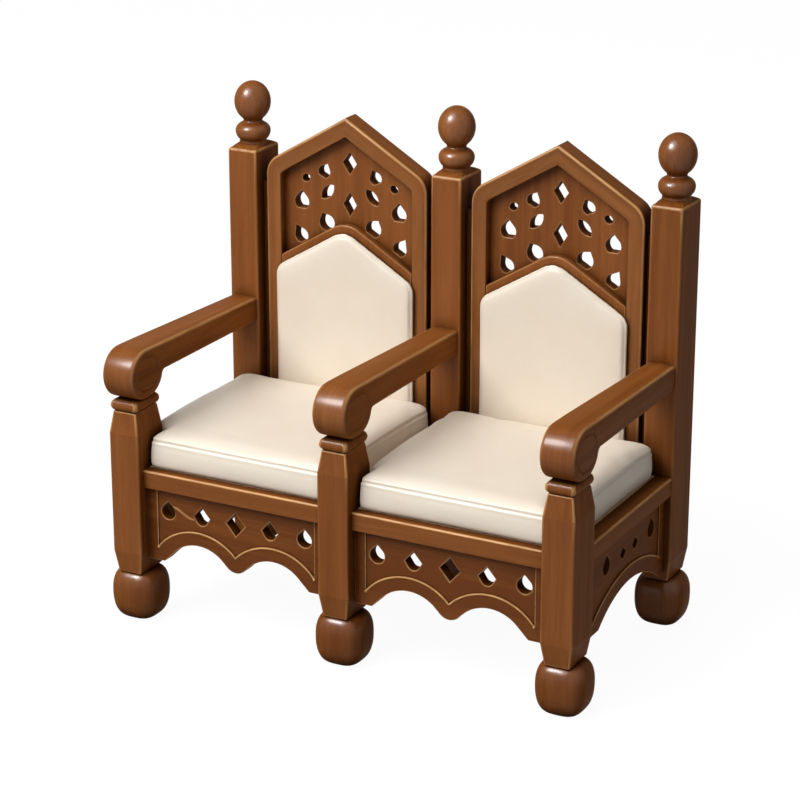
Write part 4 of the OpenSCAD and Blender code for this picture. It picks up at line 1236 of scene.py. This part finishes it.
def buildSideApron(seat, s):
    low, band = sideEdges(s)
    middle = (frontPostBack + rearPostFace) / 2
    holes = []
    for side in (-1, 1):
        near = s["sideShift"] + side * s["sidePitch"] / 2
        far = s["sideShift"] + side * (s["sidePitch"] / 2 + s["sideEndPitch"])
        holes.append(moved(spadeLoop(*s["smallHole"]), near, s["sideHoleRow"]))
        holes.append(moved(dropLoop(*s["endHole"]), far, s["sideHoleRow"]))
    bm = apronMesh(low, band, holes, s["sideRun"] / 2, s["sideBorder"],
                   lambda behind, thick: alongAt(s["sideFace"] - behind - thick / 2, middle), s)
    path = [Vector((s["sideFace"] - s["sideSet"], middle + u, v)) for u, v in band]
    roundTube(bm, path, s["moulding"], s["ball"])
    if seat == "left":
        bmesh.ops.scale(bm, vec=(-1, 1, 1), verts=bm.verts)
        bmesh.ops.reverse_faces(bm, faces=bm.faces)
    addPiece("side_apron_" + seat, bm, (0, 1, 0), 34, toneAndShade=s["sideShadeTone"],
             fade=bandWearAndHighlight(0, s["sideFace"], s["sideWearAndHighlight"], s))


for seat, x in seatPlaces.items():
    buildFrontApron(seat, x, apronSettings)
    buildSideApron(seat, apronSettings)
print("aprons built")


# backs

backSettings = {
    "halfWidth": 0.194,
    "apex": 1.179,
    "slope": 0.6,
    "frameWidth": 0.043,
    "frameDepth": 0.060,
    "shoulder": 0.060,
    "innerCorner": 0.018,
    "rebate": 0.008,
    "panelSet": 0.025,
    "panelThickness": 0.032,
    "panelGap": 0.0005,
    "outerEdge": 0.0070,
    "innerEdge": 0.0026,
    "rearEdge": 0.003,
    "outerWearAndHighlight": 1.0,
    "innerWearAndHighlight": 0.12,
    "rearWearAndHighlight": 0.2,
    "wearAndHighlightAngle": 45,
    "wearAndHighlightSpread": 26,
    "sillHeight": 0.040,
    "boardBand": 0.014,
    "boardEdge": 0.004,
    "padApex": 0.941,
    "padPoint": 0.060,
    "fretEdge": 0.0020,
}


def gableLine(grow, cornerRadius, low, s):
    half = s["halfWidth"] + grow
    apex = s["apex"] + grow * math.sqrt(1 + s["slope"] ** 2)
    corner = apex - s["slope"] * half
    left = [(-half, low)] + roundCorner((-half, low), (-half, corner), (0, apex), cornerRadius, 10)
    return left + [(0, apex)] + [(-u, v) for u, v in reversed(left)]


def frameSection(s):
    # points round the member, each as side, distance, depth and share of wear and painted highlight, which is
    # strongest on the outer front edge
    # side 0 is measured from the inner line and side 1 from the outer one
    inner, outer, rear, deep = s["innerEdge"], s["outerEdge"], s["rearEdge"], s["frameDepth"]
    points = []
    for a in (0, 30, 60, 90):
        c, d = cosSin(a)
        points.append((0, inner * (1 - c), inner * (1 - d), s["innerWearAndHighlight"]))
    for a in (90, 67.5, 45, 22.5, 0):
        c, d = cosSin(a)
        wornAndLit = s["outerWearAndHighlight"] * math.exp(-((a - s["wearAndHighlightAngle"]) / s["wearAndHighlightSpread"]) ** 2)
        points.append((1, outer * (1 - c), outer * (1 - d), wornAndLit))
    points += [(1, 0, deep - rear, 0), (1, 0.3 * rear, deep - 0.3 * rear, s["rearWearAndHighlight"]), (1, rear, deep, 0)]
    return points + [(0, s["rebate"], deep, 0), (0, s["rebate"], s["panelSet"], 0), (0, 0, s["panelSet"], 0)]


def buildBackFrame(seat, x, s):
    inner = gableLine(0, s["innerCorner"], seatTop, s)
    outer = gableLine(s["frameWidth"], s["shoulder"], seatTop, s)
    middles = [(Vector(a) + Vector(b)) / 2 for a, b in zip(inner, outer)]
    bm = bmesh.new()
    layers = [bm.verts.layers.float.new(name) for name in ("path", "across", "share")]
    rings = []
    for a, b, run in zip(inner, outer, runLengths(middles)):
        ring = []
        for side, distance, depth, wornAndLit in frameSection(s):
            # the mitre stretches distances across the member
            share = distance / s["frameWidth"]
            across = 1 - share if side else share
            p = Vector(a) + (Vector(b) - Vector(a)) * across
            v = bm.verts.new((x + p.x, backFace + depth, p.y))
            for layer, value in zip(layers, (run, across, wornAndLit)):
                v[layer] = value
            ring.append(v)
        rings.append(ring)
    for first, second in zip(rings, rings[1:]):
        bridge(bm, first, second)
    bm.faces.new(rings[0][::-1])
    bm.faces.new(rings[-1])
    bmesh.ops.recalc_face_normals(bm, faces=bm.faces)
    wearAndHighlightFromShare(bm, layers[2])
    mesh = woodMesh(bm, "back_frame_" + seat, 28)
    corner = cornerVertices(mesh)
    path, across = takeValues(mesh, "path"), takeValues(mesh, "across")
    places = np.stack([across * s["frameWidth"], vertexRows(mesh)[:, 1], path], axis=1)[corner]
    grainAlong(mesh, (0, 0, 1), curved=(np.ones(len(corner), dtype=bool), places))
    members = ["back_%s_%s_%s" % (member, seat, place)
               for member in ("stile", "head") for place in ("outer", "inner")]
    placePiece("back_frame_" + seat, mesh, members)


# distances are from the middle and below the opening's point: x, below, radius, reach, lean
fretDrops = [(0.076, 0.106, 0.017, 0.024, 25), (0.144, 0.194, 0.021, 0.031, 0),
             (0.069, 0.242, 0.022, 0.028, -30), (0.146, 0.286, 0.019, 0.032, -30)]
fretLeaves = [(0.066, 0.158, 0.052, 0.027, -48), (0.130, 0.128, 0.024, 0.020, -30)]
fretDiamonds = [(0.074, 0.040, 0.058), (0.184, 0.038, 0.062)]


def cutDropLoop(radius, reach, cut=0.8):
    # a drop whose round end is cut flat, at this share of its radius
    start = math.degrees(math.asin(-cut))
    lean = math.degrees(math.asin(radius / reach))
    right = arc((0, 0), radius, start, lean, 14)
    return [(0, reach)] + [(-u, v) for u, v in reversed(right)] + right


def leafLoop(length, width):
    r = (length ** 2 + width ** 2) / (4 * width)
    reach = math.degrees(math.asin(length / 2 / r))
    top = arc((0, width / 2 - r), r, 90 + reach, 90 - reach, 14)
    return withoutTwins(top + [(u, -v) for u, v in reversed(top)])


def buildBackPanel(seat, x, s):
    low = seatTop + s["sillHeight"] - s["rebate"] + s["panelGap"]
    outline = gableLine(s["rebate"] - s["panelGap"], s["innerCorner"], low, s)
    holes = [moved(diamondLoop(w, h), 0, s["apex"] - below) for below, w, h in fretDiamonds]
    for flip, sign in ((False, 1), (True, -1)):
        for makeLoop, places in ((cutDropLoop, fretDrops), (leafLoop, fretLeaves)):
            for u, below, first, second, lean in places:
                holes.append(moved(makeLoop(first, second), sign * u, s["apex"] - below, lean, flip))
    bm = bmesh.new()
    addBoard(bm, [outline] + holes, s["panelThickness"], s["fretEdge"],
             acrossAt(x, backFace + s["panelSet"], s["panelThickness"]))
    addPiece("back_panel_" + seat, bm, (0, 0, 1), 34, wearAndHighlight=0.4)


def buildPadBoard(seat, x, s):
    apex = s["padApex"] + s["boardBand"] * math.sqrt(1 + s["slope"] ** 2)
    outline = gabledOutline(s["halfWidth"] - s["panelGap"], seatTop + s["sillHeight"], apex, s["slope"],
                            (0, 0, 0, s["padPoint"] + s["boardBand"], 0), 14)
    bm = bmesh.new()
    addBoard(bm, [withoutTwins(outline)], s["panelSet"], s["boardEdge"], acrossAt(x, backFace, s["panelSet"]))
    addPiece("pad_board_" + seat, bm, (0, 0, 1), 34, wearAndHighlight=0.25)


for seat, x in seatPlaces.items():
    buildBackFrame(seat, x, backSettings)
    buildBackPanel(seat, x, backSettings)
    buildPadBoard(seat, x, backSettings)
print("backs built")


# leather seats and backs

padSettings = {
    "voxel": 0.0055,
    "shrink": 0.002,
    "pressure": 4.0,
    "stiffness": 40,
    "bending": 4,
    "frames": 20,
    "smoothing": 8,
    "seatCap": 0.0095,
    "seatHeight": 0.086,
    "seatFill": 0.8,
    "seatSeamDrop": 0.0135,
    "seatSeamDepth": 0.0013,
    "seatSeamWidth": 0.0026,
    "ridge": 0.0011,
    "ridgePlace": 0.0062,
    "ridgeWidth": 0.0032,
    "frontPlace": -0.3135,
    "frontReach": 0.009,
    "seatRise": 0.008,
    "backCap": 0.0035,
    "backFill": 0.6,
    "backSeamInset": 0.0120,
    "backSeamDepth": 0.0022,
    "backSeamWidth": 0.0036,
    "backHalf": 0.210,
    "backLow": 0.453,
    "backCorners": (0.020, 0.020, 0.042, 0.060, 0.042),
}


def blownUp(piece, cap, s):
    # cloth swells the piece, and no point moves further than the cap
    start = vertexRows(piece.data)
    cloth = piece.modifiers.new("puff", "CLOTH")
    cloth.settings.use_pressure = True
    cloth.settings.uniform_pressure_force = s["pressure"]
    cloth.settings.effector_weights.gravity = 0
    cloth.settings.tension_stiffness = s["stiffness"]
    cloth.settings.compression_stiffness = s["stiffness"]
    cloth.settings.bending_stiffness = s["bending"]
    cloth.point_cache.frame_start, cloth.point_cache.frame_end = 1, s["frames"]
    for number in range(1, s["frames"] + 1):
        bpy.context.scene.frame_set(number)
    result = evaluatedMesh(piece)
    move = vertexRows(result) - start
    piece.modifiers.clear()
    bpy.data.meshes.remove(result)
    bpy.context.scene.frame_set(1)
    length = np.linalg.norm(move, axis=1, keepdims=True)
    move *= np.minimum(1, cap * np.tanh(length / cap) / np.maximum(length, 1e-9))
    piece.data.vertices.foreach_set("co", (start + move).ravel())
    bm = bmesh.new()
    bm.from_mesh(piece.data)
    for number in range(s["smoothing"]):
        bmesh.ops.smooth_vert(bm, verts=bm.verts, factor=0.5,
                              use_axis_x=True, use_axis_y=True, use_axis_z=True)
    bm.to_mesh(piece.data)
    bm.free()


def inflated(name, cap, s):
    # a copy of the leather solid, a little smaller, blown up and smoothed
    mesh = nodes[name].data.copy()
    piece = linked(name, mesh)
    bm = bmesh.new()
    bm.from_mesh(mesh)
    bmesh.ops.remove_doubles(bm, verts=bm.verts, dist=1e-5)
    low = Vector([min(v.co[i] for v in bm.verts) for i in range(3)])
    high = Vector([max(v.co[i] for v in bm.verts) for i in range(3)])
    middle = (low + high) / 2
    for v in bm.verts:
        for i in range(3):
            v.co[i] = middle[i] + (v.co[i] - middle[i]) * (1 - 2 * s["shrink"] / (high[i] - low[i]))
    bm.to_mesh(mesh)
    bm.free()
    bpy.context.view_layer.objects.active = piece
    for other in bpy.context.selected_objects:
        other.select_set(False)
    piece.select_set(True)
    mesh.remesh_voxel_size = s["voxel"]
    bpy.ops.object.voxel_remesh()
    blownUp(piece, cap, s)
    subdivision = piece.modifiers.new("smooth", "SUBSURF")
    subdivision.levels = subdivision.render_levels = 1
    result, old = evaluatedMesh(piece), piece.data
    piece.modifiers.clear()
    piece.data = result
    bpy.data.meshes.remove(old)
    result.name = name
    return piece, vertexRows(result), vertexRows(result, "normal")


def lineDistance(points, outline):
    # shortest distance from each point to a closed line
    best = np.full(len(points), 1e9)
    for i, end in enumerate(outline):
        a, b = np.array(outline[i - 1]), np.array(end)
        d = b - a
        t = np.clip(((points - a) @ d) / max(d @ d, 1e-12), 0, 1)
        best = np.minimum(best, np.linalg.norm(points - (a + t[:, None] * d), axis=1))
    return best


def mirroredCopy(piece, name):
    mesh = piece.data.copy()
    mesh.name = name
    mesh.transform(Matrix.Scale(-1, 4, (1, 0, 0)))
    mesh.flip_normals()
    return linked(name, mesh)


def finishPads(piece, co, seam, kind):
    # the left pad is the mirror image of the right one
    piece.data.vertices.foreach_set("co", co.ravel())
    storeValues(piece.data, "seam", seam)
    piece.data.update()
    for side, pad in (("right", piece), ("left", mirroredCopy(piece, kind + "_left"))):
        pad.data.materials.clear()
        pad.data.materials.append(creamLeather)
        pad.data.shade_smooth()
        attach(pad, "root")
        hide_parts(kind + "_" + side)


def buildSeatCushions(s):
    piece, co, no = inflated("seat_cushion_right", s["seatCap"], s)
    seamZ = seatTop + s["seatHeight"] - s["seatSeamDrop"]
    # 1 on the sides, and 0 where the leather faces up or down
    beside = np.minimum(np.clip(1 - np.abs(no[:, 2]) * 1.1, 0, 1) * 2, 1)
    seam = np.exp(-((co[:, 2] - seamZ) / s["seatSeamWidth"]) ** 2) * beside
    ridges = np.exp(-((np.abs(co[:, 2] - seamZ) - s["ridgePlace"]) / s["ridgeWidth"]) ** 2) * beside
    co += no * (ridges * s["ridge"] - seam * s["seatSeamDepth"])[:, None]
    # the front sits full on the rail
    front = np.clip((frontPostBack - co[:, 1]) / (frontPostBack - s["frontPlace"]), 0, 1) ** 2
    upper = np.clip((co[:, 2] - seatTop) / s["seatHeight"], 0, 1) ** 2
    co[:, 1] -= s["frontReach"] * front * (1 - upper)
    # the top rises a little between the posts
    run = np.clip((co[:, 1] - frontPostBack) / (rearPostFace - frontPostBack), 0, 1)
    co[:, 2] += s["seatRise"] * 4 * run * (1 - run) * upper
    finishPads(piece, co, seam, "seat_cushion")


def buildBackPads(s):
    piece, co, no = inflated("back_pad_right", s["backCap"], s)
    outline = gabledOutline(s["backHalf"], s["backLow"], backSettings["padApex"], backSettings["slope"],
                            s["backCorners"], 8)
    inset = lineDistance(co[:, [0, 2]], [(u + seatPlaces["right"], v) for u, v in outline])
    front = np.clip(-no[:, 1] * 2 - 0.6, 0, 1)
    seam = np.exp(-((inset - s["backSeamInset"]) / s["backSeamWidth"]) ** 2) * front
    co[:, 1] += seam * s["backSeamDepth"]
    finishPads(piece, co, seam, "back_pad")


buildSeatCushions(padSettings)
buildBackPads(padSettings)
print("leather built")


# the frame's own nodes that stay get their finishes

keptFinishes = {
    "polished_wood": hiddenWood,
    "plain_wood": beech,
    "plywood": plywood,
    "steel": zincSteel,
    "seat_leather": creamLeather,
    "back_leather": creamLeather,
}
slotOf = {part["node"]: part["material_slot"] for part in frame["record"]["subparts"]}
for nodeName, node in nodes.items():
    finish = keptFinishes[slotOf[nodeName]]
    if not node.material_slots:
        node.data.materials.append(finish)
    for slot in node.material_slots:
        slot.material = finish


# floor, light and camera

studioSettings = {
    "cameraPlace": (2.9578, -5.5393, 2.8335),
    "cameraAzimuth": 28.1,
    "cameraElevation": 19.6,
    "lens": 119.8,
    "sensor": 36,
    "lampTarget": (0, 0, 0.6),
    "keyPlace": (-2.8, -5.5, 7.8),
    "keySize": 8.6,
    "keyPower": 1080,
    "glintPlace": (-3.6, -5.6, 7.2),
    "glintSize": 3.7,
    "glintPower": 1500,
    "ambient": 0.22,
    "floorHalf": 9,
    "floorThickness": 0.02,
    "floorColour": (0.3, 0.3, 0.3, 1),
    "floorRoughness": 0.9,
    "floorGlow": 1.36,
    "floorShade": 0.3,
}


def aimedFrom(thing, place, away):
    thing.location = place
    thing.rotation_mode = "QUATERNION"
    thing.rotation_quaternion = (-away).to_track_quat("-Z", "Y")


def areaLight(name, place, size, power, target):
    data = bpy.data.lights.new(name, "AREA")
    data.shape = "DISK"
    data.energy = power
    data.size = size
    lamp = linked(name, data)
    aimedFrom(lamp, place, Vector(place) - Vector(target))
    return lamp


def seenDirectly(tree):
    # 1 for camera, glossy and transmission rays, which see the white background
    path = addNode(tree, "ShaderNodeLightPath").outputs
    total = calc(tree, "ADD", path["Is Camera Ray"], path["Is Glossy Ray"])
    return calc(tree, "MINIMUM", calc(tree, "ADD", total, path["Is Transmission Ray"]), 1.0)


def buildFloor(s):
    half = s["floorHalf"]
    corners = ((-half, -half), (half, -half), (half, half), (-half, half))
    bm = bmesh.new()
    skin(bm, [[Vector((x, y, z)) for x, y in corners] for z in (-s["floorThickness"], 0)])
    mesh = bpy.data.meshes.new("floor")
    bm.to_mesh(mesh)
    bm.free()
    floor = linked("floor", mesh)
    paint, tree, shader = newMaterial("paleFloor")
    feed(tree, shader, {
        "Base Color": s["floorColour"],
        "Roughness": s["floorRoughness"],
        "Specular IOR Level": 0.0,
    })
    glow = addNode(tree, "ShaderNodeEmission", {"Strength": s["floorGlow"]})
    share = mapRange(tree, seenDirectly(tree), (0.0, 1 - s["floorShade"]))
    painted = tree.nodes["Principled BSDF"].outputs[0]
    mix = addNode(tree, "ShaderNodeMixShader", {0: share, 1: painted, 2: glow.outputs[0]})
    feed(tree, tree.nodes["Material Output"].inputs, {"Surface": mix.outputs[0]})
    mesh.materials.append(paint)


def buildStudio(s):
    cameraData = bpy.data.cameras.new("camera")
    cameraData.lens = s["lens"]
    cameraData.sensor_width = s["sensor"]
    camera = linked("camera", cameraData)
    c, d = cosSin(s["cameraAzimuth"])
    level, rise = cosSin(s["cameraElevation"])
    aimedFrom(camera, s["cameraPlace"], Vector((d * level, -c * level, rise)))
    bpy.context.scene.camera = camera

    world = bpy.data.worlds.new("studioWorld")
    bpy.context.scene.world = world
    world.use_nodes = True
    tree = world.node_tree
    strength = mapRange(tree, seenDirectly(tree), (s["ambient"], 1.0))
    feed(tree, tree.nodes["Background"].inputs, {"Color": (1, 1, 1, 1), "Strength": strength})

    areaLight("keyLight", s["keyPlace"], s["keySize"], s["keyPower"], s["lampTarget"])
    # a lamp that only shows as a reflection
    glint = areaLight("glintLight", s["glintPlace"], s["glintSize"], s["glintPower"], s["lampTarget"])
    glint.visible_diffuse = False
    buildFloor(s)
    bpy.context.scene.view_settings.view_transform = "Standard"


buildStudio(studioSettings)
print("studio built")
